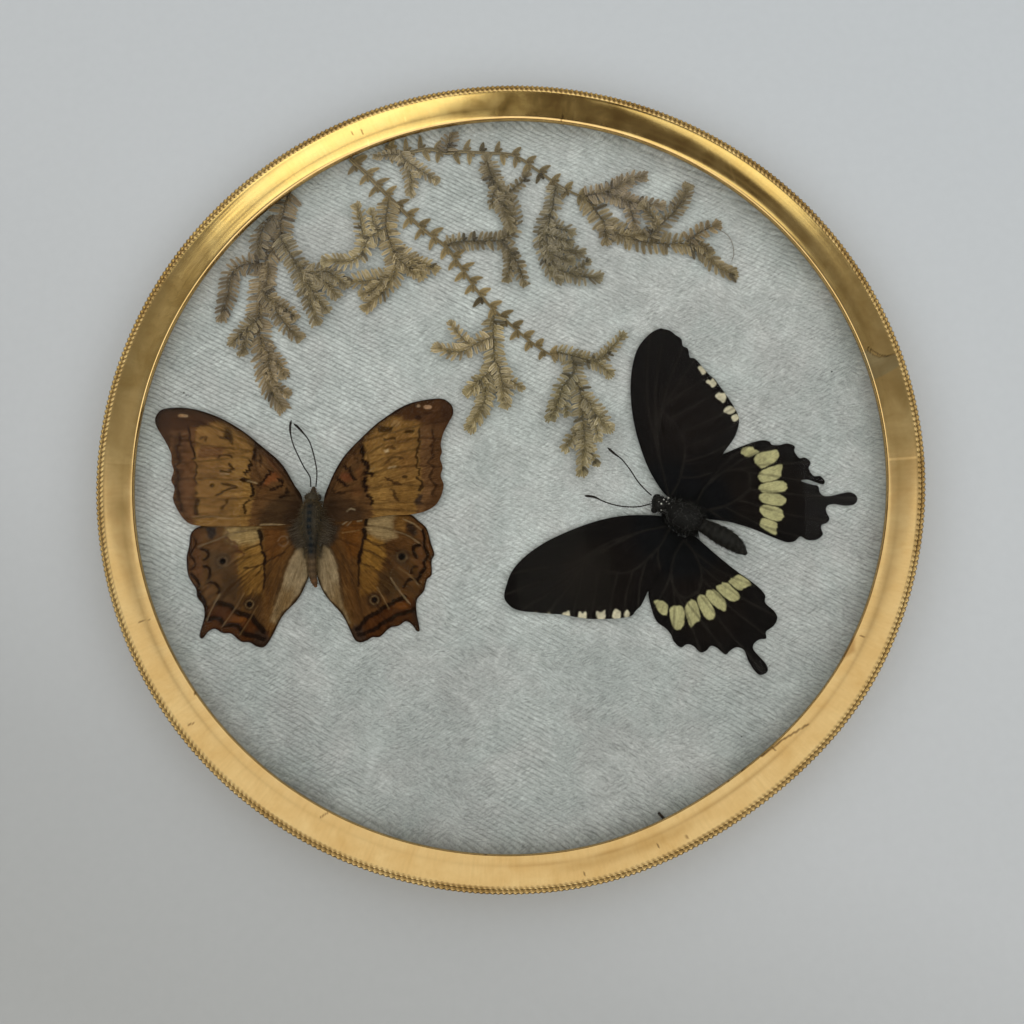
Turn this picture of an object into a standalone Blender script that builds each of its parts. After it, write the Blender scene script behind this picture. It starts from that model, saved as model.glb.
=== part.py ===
"""A round gilt frame lying on its back, with a shallow domed glass over a velvet ground.

Two spread butterflies and three pressed clubmoss sprigs lie on the velvet.
Lengths are written in millimetres and turned into metres where shapes are made.
The origin is the centre of the frame's rear edge, +Z points out through the glass,
+Y points to the edge from which the sprigs hang.
"""

import math

import bpy
from mathutils import Vector

MM = 0.001

# Frame, in millimetres: radii from the centre and heights above the rear edge.
KNURL_R = 94.9
KNURL_Z = 9.0
SIDE_R = 92.8
SHOULDER_R = 93.2
LIP_R = 86.9
REBATE_R = 90.0
LIP_BOTTOM = 6.2
RIM_STEPS = 64
DENT_ANGLE = 305.0
DENT_HALF_WIDTH = 26.0
DENT_DEPTH = 0.85
TAB_COUNT = 8
TAB_LENGTH = 7.0
TAB_WIDTH = 6.0
TAB_Z = (0.1, 0.5)

# Glass, velvet and backing, in millimetres.
PANE_R = 88.6
GLASS_EDGE_BOTTOM = 4.3
GLASS_THICK = 1.2
GLASS_RISE = 11.0
GLASS_ARC_POINTS = 5
GLASS_SIDES = 54
VELVET_Z = (2.6, 3.7)
CARD_Z = (1.7, 2.3)
COVER_Z = (0.8, 1.4)
DISC_SIDES = 48

# Specimens, in millimetres.
CLEARANCE = 0.3
WING_THICK = 0.3
LOWER_WING_Z = VELVET_Z[1] + CLEARANCE
UPPER_WING_Z = LOWER_WING_Z + WING_THICK + CLEARANCE
ABDOMEN_BELLY_Z = LOWER_WING_Z + WING_THICK + CLEARANCE
FROND_THICK = 0.2
LOBE_THICK = 0.14
FROND_LEVEL = 0.5
ANTENNA_R = 0.17
CLUB_R = 0.3
BODY_SIDES_RESOLUTION = 2
SPRIG_LIMIT_R = (87.2, 85.7, 84.0, 82.0)

# Wing outlines, chosen by hand along each margin, x and y in millimetres.
CRUISER_LEFT_FOREWING = [
    (-47.6, -7.6), (-49.4, -4.7), (-52.8, 0.6), (-57.6, 4.8), (-62.5, 8.7), (-67.4, 11.6),
    (-71.1, 13.1), (-75.4, 14.2), (-79.0, 14.4), (-82.1, 13.8), (-83.3, 12.0), (-83.0, 10.0),
    (-80.7, 6.3), (-79.0, 3.0), (-78.8, 0.8), (-78.2, -0.9), (-78.6, -3.3), (-77.7, -5.2),
    (-77.9, -7.7), (-76.8, -10.2), (-74.4, -13.2), (-71.8, -14.1), (-64.8, -14.3), (-57.3, -14.3),
    (-51.2, -14.0), (-47.6, -13.4),
]
CRUISER_RIGHT_FOREWING = [
    (-42.4, -13.4), (-37.5, -13.3), (-32.2, -12.7), (-27.3, -11.9), (-22.4, -11.8), (-18.3, -10.8),
    (-15.9, -8.9), (-14.6, -5.0), (-15.3, -2.6), (-14.9, -0.6), (-15.5, 1.6), (-15.1, 3.1),
    (-15.4, 4.8), (-14.8, 7.7), (-13.5, 10.4), (-12.6, 12.3), (-12.9, 14.3), (-14.9, 15.9),
    (-18.3, 15.9), (-23.7, 14.6), (-29.5, 10.9), (-32.9, 7.9), (-37.8, 2.6), (-40.0, -1.1),
    (-41.6, -5.0), (-42.4, -7.6),
]
CRUISER_LEFT_HINDWING = [
    (-47.6, -13.0), (-56.0, -11.6), (-65.0, -12.2), (-71.9, -14.4), (-73.4, -15.8), (-73.7, -19.0),
    (-74.1, -21.4), (-73.4, -25.8), (-71.4, -29.0), (-71.1, -30.7), (-69.6, -32.6), (-69.2, -35.1),
    (-70.1, -39.6), (-69.4, -40.2), (-68.0, -38.5), (-66.6, -38.0), (-64.9, -38.9), (-62.9, -39.1),
    (-60.4, -40.9), (-58.4, -41.1), (-56.8, -42.0), (-55.1, -42.1), (-53.6, -40.1), (-51.2, -35.1),
    (-47.6, -30.9), (-45.6, -26.4), (-45.3, -24.4), (-46.4, -20.2), (-46.8, -18.8), (-47.6, -17.4),
]
CRUISER_RIGHT_HINDWING = [
    (-42.4, -17.4), (-43.4, -20.2), (-43.9, -24.0), (-42.9, -27.8), (-41.1, -30.9), (-37.4, -35.0),
    (-35.0, -39.5), (-34.2, -40.8), (-33.0, -41.1), (-31.7, -40.7), (-30.5, -40.0), (-28.8, -39.9),
    (-26.4, -37.8), (-24.5, -37.4), (-22.9, -36.4), (-21.4, -37.2), (-20.3, -38.7), (-19.7, -38.5),
    (-20.5, -34.1), (-20.4, -31.4), (-18.9, -29.5), (-18.2, -26.8), (-17.2, -25.8), (-17.2, -22.4),
    (-16.6, -21.0), (-17.4, -18.5), (-18.5, -14.9), (-20.2, -13.3), (-22.4, -11.6), (-30.0, -10.0),
    (-38.0, -11.0), (-42.4, -13.0),
]
MORMON_UPPER_FOREWING = [
    (37.1, -7.9), (35.5, -6.0), (33.0, -1.5), (31.3, 3.3), (29.9, 9.0), (29.2, 14.9),
    (29.4, 21.6), (30.9, 27.6), (33.8, 31.4), (36.5, 32.9), (37.4, 32.7), (38.8, 32.3),
    (39.9, 31.3), (41.4, 30.1), (41.7, 28.4), (42.8, 27.8), (43.3, 25.5), (44.2, 25.4),
    (45.3, 24.3), (46.3, 22.9), (47.0, 22.1), (47.9, 21.0), (48.9, 20.2), (49.9, 18.6),
    (50.8, 17.2), (52.1, 15.2), (53.1, 13.4), (54.0, 11.4), (54.1, 9.3), (53.0, 6.1),
    (50.3, 2.3), (46.5, -3.5), (41.7, -9.4), (38.8, -8.6),
]
MORMON_UPPER_HINDWING = [
    (42.6, -10.2), (41.6, -5.6), (46.0, 0.4), (50.5, 2.3), (55.7, 4.4), (59.4, 5.4),
    (61.2, 5.0), (61.5, 4.4), (63.2, 4.2), (65.2, 4.6), (66.9, 3.9), (66.7, 2.8),
    (67.8, 1.1), (69.1, 1.2), (70.3, 0.0), (69.8, -1.4), (70.9, -3.2), (72.3, -3.2),
    (73.3, -4.4), (72.9, -5.2), (70.8, -4.5), (69.2, -4.0), (67.9, -4.3), (70.2, -5.2),
    (71.7, -5.6), (72.0, -7.0), (72.9, -7.9), (74.5, -7.9), (78.2, -7.1), (79.8, -7.4),
    (80.5, -8.6), (79.8, -9.8), (78.0, -10.2), (74.8, -9.8), (73.5, -10.3), (73.2, -11.4),
    (73.9, -13.2), (73.2, -14.2), (72.1, -14.6), (71.9, -15.5), (72.2, -16.8), (70.8, -18.0),
    (68.6, -18.1), (67.1, -17.3), (65.7, -18.4), (64.0, -18.6), (61.5, -17.7), (56.2, -15.4),
    (51.1, -13.8), (45.4, -12.9), (44.6, -12.0),
]
MORMON_LOWER_FOREWING = [
    (35.9, -12.6), (30.4, -12.2), (25.0, -12.6), (19.6, -13.9), (14.2, -15.9), (8.8, -18.5),
    (4.0, -21.9), (1.2, -25.2), (-0.1, -28.6), (-0.5, -31.0), (0.2, -32.4), (1.6, -33.6),
    (3.6, -34.2), (6.6, -34.5), (9.5, -34.8), (12.4, -35.0), (15.8, -35.6), (18.8, -36.0),
    (23.4, -36.0), (26.0, -35.8), (28.3, -35.3), (29.4, -34.0), (30.4, -33.1), (32.2, -29.6),
    (36.0, -23.4), (39.2, -16.9), (37.9, -15.8), (36.2, -13.6),
]
MORMON_LOWER_HINDWING = [
    (39.4, -17.0), (35.4, -20.4), (33.4, -25.0), (32.2, -29.7), (33.0, -34.2), (34.0, -36.6),
    (36.0, -38.2), (37.1, -39.6), (37.6, -41.0), (39.2, -42.4), (40.6, -41.7), (42.0, -42.1),
    (43.5, -43.5), (44.8, -43.2), (45.9, -42.1), (47.2, -42.5), (49.1, -44.0), (50.2, -43.1),
    (51.6, -42.4), (53.2, -43.0), (54.1, -45.4), (55.4, -47.6), (56.4, -48.5), (57.4, -48.4),
    (58.2, -47.8), (58.3, -46.8), (57.6, -45.6), (55.4, -43.0), (55.4, -41.8), (56.7, -40.7),
    (58.3, -40.4), (58.3, -39.0), (60.1, -37.6), (61.0, -35.8), (60.4, -34.4), (58.4, -32.3),
    (58.5, -30.7), (56.4, -28.3), (52.2, -25.1), (47.7, -21.3), (43.7, -17.6), (42.2, -16.9),
    (40.9, -17.4),
]

# Body axes as (x, y, radius), from the palps to the tip of the abdomen.
CRUISER_BODY = [
    (-44.9, -5.1, 0.3), (-44.9, -6.4, 0.75), (-45.0, -7.1, 1.0), (-45.0, -7.8, 1.6),
    (-45.0, -8.5, 1.4), (-45.0, -9.0, 1.25), (-45.0, -10.4, 2.0), (-45.0, -13.0, 2.2),
    (-45.0, -15.8, 1.9), (-44.8, -17.6, 1.2), (-44.7, -19.0, 1.2), (-44.6, -21.5, 1.15),
    (-44.5, -23.8, 1.0), (-44.2, -26.0, 0.95), (-43.7, -27.8, 0.7), (-43.4, -28.7, 0.3),
]
MORMON_BODY = [
    (33.6, -8.9, 0.5), (34.2, -9.2, 1.4), (35.3, -9.9, 1.9), (36.6, -10.6, 1.7),
    (37.2, -10.9, 1.5), (38.4, -11.6, 2.5), (40.2, -12.7, 3.0), (42.4, -13.9, 2.8),
    (44.0, -14.7, 1.7), (45.2, -15.3, 1.8), (47.4, -16.7, 2.2), (49.6, -18.0, 2.3),
    (51.6, -19.3, 2.0), (53.3, -20.6, 1.3), (54.4, -21.6, 0.4),
]

# Antennae from the head outwards, x and y in millimetres.
ANTENNAE = {
    "cruiser_antenna_left": (
        [(-45.5, -5.2), (-45.8, -2.8), (-47.2, -0.6), (-48.9, 2.6), (-50.1, 5.2), (-50.8, 7.9),
         (-50.9, 9.6), (-50.7, 10.9)],
        5.4,
    ),
    "cruiser_antenna_right": (
        [(-44.3, -5.2), (-44.2, -1.8), (-44.7, 0.9), (-45.5, 3.8), (-46.4, 6.0), (-47.9, 7.9),
         (-49.2, 9.3), (-50.1, 10.0)],
        5.4,
    ),
    "mormon_antenna_upper": (
        [(33.4, -7.7), (31.9, -6.3), (30.2, -4.2), (28.8, -1.9), (27.3, 0.2), (26.4, 1.2),
         (25.1, 2.2), (23.5, 3.7)],
        5.2,
    ),
    "mormon_antenna_lower": (
        [(33.1, -9.7), (31.2, -10.2), (29.2, -10.4), (26.4, -10.2), (24.2, -9.7), (22.3, -9.0),
         (20.2, -8.0), (18.0, -7.7)],
        5.2,
    ),
}

# Clubmoss. Each strip is (route, reach of its leaflets, pitch of its leaflets).
DENSE = 2.8
SPARSE = 4.4
STEM_HALF = 0.42
LEAF_HALF_BASE = 0.6
LEAN = 0.9
NOTCH_SHARE = 0.42
PATH_STEP = 0.4

SPRIGS = {
    # name: (level above the velvet, strips)
    "clubmoss_left_stem": (0, [
        ([(-53.2, 69.0), (-54.6, 66.0), (-55.5, 62.0), (-55.7, 58.0), (-57.0, 55.0), (-58.8, 51.8),
          (-59.2, 48.0), (-59.6, 43.0), (-59.9, 38.5), (-59.7, 34.0), (-58.8, 29.7), (-58.2, 25.5),
          (-57.4, 21.8), (-55.8, 18.0), (-53.8, 15.0)], 3.1, DENSE),
        ([(-58.9, 30.0), (-56.4, 27.2), (-54.4, 24.8), (-53.6, 23.2)], 2.1, DENSE),
        ([(-57.2, 20.8), (-54.6, 19.0), (-52.6, 18.0)], 1.7, DENSE),
    ]),
    "clubmoss_left_rim": (1, [
        ([(-57.2, 63.4), (-59.3, 60.8), (-60.4, 57.5), (-60.4, 53.6)], 2.6, DENSE),
    ]),
    "clubmoss_left_outer": (1, [
        ([(-59.7, 50.6), (-62.5, 50.6), (-65.0, 50.0), (-66.8, 48.2), (-67.3, 45.4), (-67.6, 42.8),
          (-68.2, 39.8), (-68.6, 37.6)], 2.6, DENSE),
    ]),
    "clubmoss_left_lower_outer": (1, [
        ([(-60.0, 36.4), (-62.0, 34.7), (-64.0, 32.6), (-65.4, 31.0)], 2.1, DENSE),
        ([(-61.4, 35.4), (-62.6, 32.0), (-63.2, 28.6)], 1.9, DENSE),
    ]),
    "clubmoss_left_lower_inner": (1, [
        ([(-59.4, 43.8), (-57.0, 41.0), (-54.8, 37.2), (-52.2, 33.8), (-50.2, 32.0)], 2.3, DENSE),
        ([(-57.4, 41.4), (-53.6, 39.2), (-51.2, 37.2)], 1.6, DENSE),
    ]),
    "clubmoss_left_fork": (2, [
        ([(-55.6, 57.6), (-53.8, 54.6), (-51.9, 51.5), (-50.0, 48.2), (-48.9, 45.0), (-47.4, 41.0),
          (-46.3, 37.6), (-45.8, 36.0)], 2.6, DENSE),
        ([(-49.9, 47.8), (-47.0, 43.4), (-45.0, 40.4), (-43.8, 38.9)], 2.0, DENSE),
        ([(-51.0, 49.6), (-47.2, 47.6), (-44.6, 46.2), (-42.6, 44.0), (-41.6, 42.6)], 2.2, DENSE),
        ([(-47.4, 47.8), (-43.8, 48.2), (-41.2, 46.6), (-39.6, 45.2)], 2.2, DENSE),
    ]),
    "clubmoss_long_stem": (0, [
        ([(-38.7, 77.8), (-35.2, 74.7), (-33.1, 72.3), (-28.8, 67.7), (-24.5, 63.2), (-20.2, 59.1),
          (-14.5, 54.2), (-10.7, 48.6), (-6.9, 42.9), (-3.9, 39.1), (0.4, 35.0), (5.0, 30.7),
          (9.7, 27.2), (10.8, 26.8)], 3.4, SPARSE),
    ]),
    "clubmoss_long_left": (1, [
        ([(-29.0, 66.8), (-29.6, 61.5), (-29.3, 58.8), (-28.4, 55.9), (-27.2, 52.0), (-26.9, 49.2),
          (-27.6, 46.8), (-29.2, 44.2), (-31.6, 41.4), (-33.6, 39.4)], 2.7, DENSE),
        ([(-27.4, 53.4), (-24.8, 51.8), (-22.5, 49.6), (-20.9, 47.6)], 2.6, DENSE),
        ([(-24.0, 51.2), (-20.4, 49.9), (-17.8, 48.9)], 1.9, DENSE),
        ([(-27.6, 46.9), (-31.5, 46.1), (-35.0, 45.8), (-37.4, 45.7)], 2.7, DENSE),
    ]),
    "clubmoss_long_left_outer": (3, [
        ([(-30.0, 58.8), (-31.8, 57.8), (-33.7, 56.0), (-34.8, 53.2), (-36.6, 51.1), (-39.6, 50.4),
          (-42.4, 50.8), (-43.4, 50.7)], 2.4, DENSE),
        ([(-34.4, 54.4), (-35.2, 58.6), (-35.9, 62.4), (-36.5, 64.4)], 1.9, DENSE),
        ([(-31.4, 58.0), (-32.5, 60.6), (-33.0, 63.0)], 1.5, DENSE),
    ]),
    "clubmoss_long_right": (1, [
        ([(-14.4, 54.9), (-11.8, 55.6), (-8.0, 55.8), (-2.4, 55.8), (0.2, 56.8), (1.7, 59.8),
          (1.4, 63.4), (0.4, 66.8), (-1.8, 69.6), (-3.9, 72.4), (-4.9, 75.4), (-5.0, 77.4)],
         2.2, DENSE),
        ([(0.2, 67.2), (2.0, 69.8), (3.8, 71.2), (4.8, 72.8)], 1.4, DENSE),
        ([(-2.0, 55.8), (0.6, 53.4), (0.8, 49.6), (0.2, 46.4)], 1.8, DENSE),
        ([(0.5, 53.6), (2.6, 49.6), (3.8, 46.4), (4.1, 45.2)], 1.7, DENSE),
    ]),
    "clubmoss_long_lower": (1, [
        ([(-3.1, 36.6), (-3.2, 34.0), (-3.2, 30.8), (-3.0, 28.0), (-2.9, 25.4), (-3.6, 22.6),
          (-4.7, 19.4), (-5.2, 16.0), (-5.7, 13.4), (-7.0, 11.0), (-8.2, 9.5)], 2.5, DENSE),
        ([(-4.6, 19.8), (-7.2, 18.6), (-9.0, 17.6)], 1.6, DENSE),
    ]),
    "clubmoss_long_lower_left": (2, [
        ([(-3.4, 31.0), (-6.0, 30.0), (-8.6, 28.6), (-11.0, 27.5), (-14.0, 27.7), (-16.0, 28.3)],
         2.2, DENSE),
        ([(-8.4, 28.7), (-10.8, 31.2), (-12.4, 33.2), (-13.0, 34.2)], 1.5, DENSE),
    ]),
    "clubmoss_long_lower_right": (2, [
        ([(-2.8, 25.2), (-1.6, 23.2), (-0.5, 20.6), (-0.2, 17.4), (-0.3, 14.9)], 2.1, DENSE),
        ([(-0.7, 21.2), (1.4, 19.9), (3.2, 18.6)], 1.3, DENSE),
    ]),
    "clubmoss_long_end": (1, [
        ([(12.0, 27.3), (15.3, 26.4), (18.0, 25.6), (20.7, 24.7), (22.8, 23.4), (23.8, 22.4)],
         2.0, DENSE),
        ([(20.4, 24.8), (22.8, 26.0), (24.8, 28.2), (26.6, 30.2), (27.2, 30.9)], 1.6, DENSE),
    ]),
    "clubmoss_long_end_lower": (2, [
        ([(15.6, 25.8), (15.8, 23.4), (16.0, 21.0), (16.9, 18.6), (17.7, 15.6), (17.8, 12.4),
          (18.0, 9.0), (17.8, 6.0), (18.0, 3.0), (17.8, 0.0), (17.6, -1.4)], 2.4, DENSE),
        ([(17.8, 8.2), (15.4, 6.2), (14.0, 4.0)], 1.7, DENSE),
        ([(17.9, 6.2), (19.6, 2.8), (20.6, 0.4)], 1.5, DENSE),
    ]),
    "clubmoss_long_end_lower_left": (3, [
        ([(15.8, 21.6), (13.6, 18.8), (12.2, 16.0), (11.0, 13.2), (10.4, 11.6)], 2.0, DENSE),
        ([(13.2, 18.2), (13.7, 14.8), (14.1, 12.2)], 1.4, DENSE),
    ]),
    "clubmoss_long_end_lower_right": (3, [
        ([(18.0, 16.0), (20.2, 13.6), (22.2, 11.0), (23.6, 8.8)], 2.0, DENSE),
        ([(19.8, 14.0), (21.0, 9.6), (21.2, 6.2)], 1.5, DENSE),
    ]),
    "clubmoss_top_stem": (0, [
        ([(-30.2, 81.0), (-27.0, 80.0), (-24.7, 79.8), (-19.3, 80.6), (-15.0, 79.5), (-11.3, 79.8),
          (-5.3, 79.3), (0.0, 79.0), (3.3, 77.7), (7.7, 74.3), (12.4, 70.6), (15.3, 68.8),
          (18.9, 67.0)], 3.3, SPARSE),
        ([(18.4, 67.2), (20.2, 65.6), (22.0, 63.0), (23.6, 60.6), (25.6, 58.8), (28.2, 57.2),
          (30.8, 55.9), (34.5, 55.0), (39.5, 54.6), (42.2, 54.6), (45.3, 53.4), (47.6, 52.0),
          (49.8, 49.6), (52.4, 47.6), (53.8, 46.8)], 2.8, DENSE),
    ]),
    "clubmoss_top_rim": (1, [
        ([(-15.0, 79.4), (-14.2, 82.4), (-13.6, 84.0)], 2.2, DENSE),
    ]),
    "clubmoss_top_left": (1, [
        ([(-26.4, 79.6), (-25.0, 77.0), (-24.0, 74.4), (-23.5, 71.4), (-23.5, 69.2)], 2.0, DENSE),
        ([(-25.2, 77.4), (-21.8, 75.0), (-19.0, 73.0), (-17.8, 72.2)], 1.7, DENSE),
        ([(-26.0, 78.8), (-29.4, 79.0), (-32.2, 78.6)], 1.3, DENSE),
    ]),
    "clubmoss_top_drop": (1, [
        ([(12.2, 70.2), (11.5, 67.4), (11.2, 64.0), (9.6, 61.0), (8.6, 58.0), (8.5, 55.0),
          (9.0, 52.4), (10.1, 49.4), (10.9, 47.0), (12.2, 45.9)], 2.1, DENSE),
        ([(9.4, 60.6), (11.6, 59.2), (14.0, 58.2), (15.0, 57.8)], 2.3, DENSE),
        ([(8.6, 55.4), (11.4, 53.8), (14.6, 52.9), (17.4, 52.4)], 2.3, DENSE),
        ([(9.8, 50.2), (12.6, 48.2), (15.8, 46.9), (18.4, 46.2), (21.4, 46.1)], 2.3, DENSE),
        ([(15.4, 47.0), (18.2, 48.9), (19.4, 49.9)], 1.3, DENSE),
    ]),
    "clubmoss_top_upper": (1, [
        ([(19.2, 67.2), (22.0, 67.8), (24.6, 68.2), (26.8, 69.5), (29.0, 70.7), (31.0, 71.6),
          (32.8, 71.9)], 2.3, DENSE),
        ([(24.0, 68.1), (27.4, 66.6), (30.2, 65.4), (32.6, 64.8), (36.0, 64.6), (37.0, 64.5)],
         2.2, DENSE),
        ([(29.8, 65.8), (30.5, 61.8), (30.9, 59.4)], 1.8, DENSE),
    ]),
    "clubmoss_top_cross": (2, [
        ([(34.4, 55.8), (36.8, 58.6), (39.2, 61.0), (41.4, 63.4), (43.2, 66.4), (44.0, 68.4)],
         2.2, DENSE),
        ([(36.6, 58.4), (35.2, 61.4), (33.4, 63.6)], 2.0, DENSE),
    ]),
    "clubmoss_top_arch_lower": (1, [
        ([(23.6, 60.4), (23.9, 58.0), (24.1, 55.8)], 1.9, DENSE),
    ]),
    "clubmoss_top_end_upper": (1, [
        ([(43.6, 55.0), (46.0, 56.8), (48.6, 58.2), (50.2, 58.8)], 2.1, DENSE),
    ]),
}


def clear_scene():
    for obj in list(bpy.data.objects):
        bpy.data.objects.remove(obj, do_unlink=True)


def new_collection(name, hidden=False):
    collection = bpy.data.collections.new(name)
    collection.hide_render = hidden
    bpy.context.scene.collection.children.link(collection)
    return collection


def new_material(name, colour, roughness, metallic=0.0, transmission=0.0):
    material = bpy.data.materials.new(name)
    material.use_nodes = True
    shader = material.node_tree.nodes["Principled BSDF"]
    shader.inputs["Base Color"].default_value = (*colour, 1.0)
    shader.inputs["Roughness"].default_value = roughness
    shader.inputs["Metallic"].default_value = metallic
    shader.inputs["Transmission Weight"].default_value = transmission
    return material


def add_object(name, data, collection, material):
    obj = bpy.data.objects.new(name, data)
    collection.objects.link(obj)
    data.materials.append(material)
    return obj


def as_mesh(obj, weld=1e-6):
    """The object's evaluated shape as a mesh of its own, with its loose caps welded."""
    bpy.context.view_layer.update()
    graph = bpy.context.evaluated_depsgraph_get()
    mesh = bpy.data.meshes.new_from_object(obj.evaluated_get(graph))
    import bmesh

    work = bmesh.new()
    work.from_mesh(mesh)
    bmesh.ops.remove_doubles(work, verts=work.verts, dist=weld)
    work.to_mesh(mesh)
    work.free()
    return mesh


def turned(name, profile, steps, collection, material):
    """A ring or dish turned about Z from a closed profile of (radius, height)."""
    mesh = bpy.data.meshes.new(name)
    count = len(profile)
    closes = profile[0][0] > 0.0
    edges = [(i, (i + 1) % count) for i in range(count if closes else count - 1)]
    mesh.from_pydata([(r * MM, 0.0, z * MM) for r, z in profile], edges, [])
    obj = add_object(name, mesh, collection, material)
    screw = obj.modifiers.new("Turn", "SCREW")
    screw.axis = "Z"
    screw.angle = 2.0 * math.pi
    screw.steps = steps
    screw.render_steps = steps
    screw.use_merge_vertices = True
    screw.merge_threshold = 0.00001
    return obj


def dent(x, y):
    """How far the ring is pushed in at this place, in millimetres."""
    angle = math.degrees(math.atan2(y, x)) % 360.0
    share = (angle - DENT_ANGLE) / DENT_HALF_WIDTH
    return DENT_DEPTH * math.cos(share * math.pi / 2.0) ** 2 if abs(share) < 1.0 else 0.0


def rim_profile():
    """The ring's section: rear edge, side, knurled bead, sloping band, groove, inner bead, lip."""
    return [
        (SIDE_R, KNURL_Z - 1.0), (SIDE_R, 0.0), (REBATE_R, 0.0), (REBATE_R, LIP_BOTTOM),
        (LIP_R, LIP_BOTTOM), (LIP_R, KNURL_Z - 0.4), (LIP_R + 0.5, KNURL_Z + 0.05),
        (LIP_R + 1.6, KNURL_Z - 0.1), (LIP_R + 2.7, KNURL_Z - 0.6),
        (LIP_R + 3.6, KNURL_Z + 0.05), (SHOULDER_R, KNURL_Z + 0.6), (KNURL_R - 0.8, KNURL_Z + 0.9),
        (KNURL_R, KNURL_Z), (KNURL_R - 0.8, KNURL_Z - 0.9),
    ]


def make_rim(parts, cutters, gilt):
    rim = turned("rim_turned", rim_profile(), RIM_STEPS, cutters, gilt)
    mesh = as_mesh(rim)
    bpy.data.objects.remove(rim, do_unlink=True)
    for vertex in mesh.vertices:
        place = vertex.co
        radius = math.hypot(place.x, place.y)
        share = 1.0 - dent(place.x, place.y) * MM / radius
        place.x *= share
        place.y *= share
    rim = add_object("rim", mesh, parts, gilt)
    for index in range(TAB_COUNT):
        add_tab(rim, cutters, math.radians(360.0 / TAB_COUNT * (index + 0.5)))
    return rim


def add_tab(rim, cutters, angle):
    """One tab of the ring's rear edge, bent flat behind the cover."""
    bpy.ops.mesh.primitive_cube_add(size=1.0)
    tab = bpy.context.object
    tab.name = f"tab_{math.degrees(angle):.0f}"
    middle = REBATE_R + 0.8 - TAB_LENGTH / 2.0
    tab.scale = (TAB_LENGTH * MM, TAB_WIDTH * MM, (TAB_Z[1] - TAB_Z[0]) * MM)
    tab.rotation_euler = (0.0, 0.0, angle)
    height = (TAB_Z[0] + TAB_Z[1]) / 2.0
    tab.location = (middle * math.cos(angle) * MM, middle * math.sin(angle) * MM, height * MM)
    hide_helper(tab, cutters)
    join = rim.modifiers.new(tab.name, "BOOLEAN")
    join.operation = "UNION"
    join.object = tab


def hide_helper(obj, cutters):
    for collection in list(obj.users_collection):
        collection.objects.unlink(obj)
    cutters.objects.link(obj)
    obj.hide_render = True
    obj.display_type = "WIRE"


def glass_profile():
    """The dome's section: its outer arc from the crown to the edge, then its inner arc back."""
    sphere = (PANE_R**2 + GLASS_RISE**2) / (2.0 * GLASS_RISE)
    outer = []
    inner = []
    for index in range(GLASS_ARC_POINTS + 1):
        radius = PANE_R * index / GLASS_ARC_POINTS
        rise = math.sqrt(sphere**2 - radius**2) - (sphere - GLASS_RISE)
        outer.append((radius, GLASS_EDGE_BOTTOM + GLASS_THICK + rise))
        inner.append((radius, GLASS_EDGE_BOTTOM + rise))
    return outer + inner[::-1]


def make_disc(name, low_high, collection, material):
    low, high = low_high
    bpy.ops.mesh.primitive_cylinder_add(
        vertices=DISC_SIDES, radius=PANE_R * MM, depth=(high - low) * MM,
        location=(0.0, 0.0, (low + high) / 2.0 * MM),
    )
    disc = bpy.context.object
    disc.name = name
    disc.data.materials.append(material)
    for other in list(disc.users_collection):
        other.objects.unlink(disc)
    collection.objects.link(disc)
    return disc


def plate(name, outline, bottom, thickness, collection, material):
    """A flat piece with this outline, from this height up by its thickness."""
    curve = bpy.data.curves.new(name, "CURVE")
    curve.dimensions = "2D"
    curve.fill_mode = "BOTH"
    curve.extrude = thickness / 2.0 * MM
    spline = curve.splines.new("POLY")
    spline.points.add(len(outline) - 1)
    for point, (x, y) in zip(spline.points, outline):
        point.co = (x * MM, y * MM, 0.0, 1.0)
    spline.use_cyclic_u = True
    obj = add_object(name, curve, collection, material)
    obj.location.z = (bottom + thickness / 2.0) * MM
    return obj


def tube(name, points, collection, material, resolution=1):
    """A closed tube through (x, y, z, radius) points, in millimetres."""
    curve = bpy.data.curves.new(name, "CURVE")
    curve.dimensions = "3D"
    curve.bevel_depth = MM
    curve.bevel_resolution = resolution
    curve.use_fill_caps = True
    spline = curve.splines.new("POLY")
    spline.points.add(len(points) - 1)
    for point, (x, y, z, radius) in zip(spline.points, points):
        point.co = (x * MM, y * MM, z * MM, 1.0)
        point.radius = radius
    return add_object(name, curve, collection, material)


def make_body(name, axis, abdomen_from, collection, material):
    """Head, thorax and abdomen as one form that rests on the velvet, the abdomen on the wings."""
    points = []
    for index, (x, y, radius) in enumerate(axis):
        belly = ABDOMEN_BELLY_Z if index >= abdomen_from else LOWER_WING_Z
        points.append((x, y, belly + max(radius, 1.1), radius))
    return tube(name, points, collection, material, BODY_SIDES_RESOLUTION)


def make_antenna(name, route, height, collection, material):
    points = []
    for index, (x, y) in enumerate(route):
        share = index / (len(route) - 1)
        radius = CLUB_R if share > 0.8 else ANTENNA_R
        points.append((x, y, height, radius))
    return tube(name, points, collection, material)


def smooth_route(route, step):
    """Points about one step apart on a smooth curve through the route's own points."""
    ends = [Vector(p) for p in route]
    ends = [2 * ends[0] - ends[1]] + ends + [2 * ends[-1] - ends[-2]]
    points = []
    for a, b, c, d in zip(ends, ends[1:], ends[2:], ends[3:]):
        count = max(2, int((c - b).length / step))
        for index in range(count):
            t = index / count
            points.append(
                0.5 * (2 * b + (c - a) * t + (2 * a - 5 * b + 4 * c - d) * t**2
                       + (3 * b - a - 3 * c + d) * t**3)
            )
    points.append(ends[-2])
    return points


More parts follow.
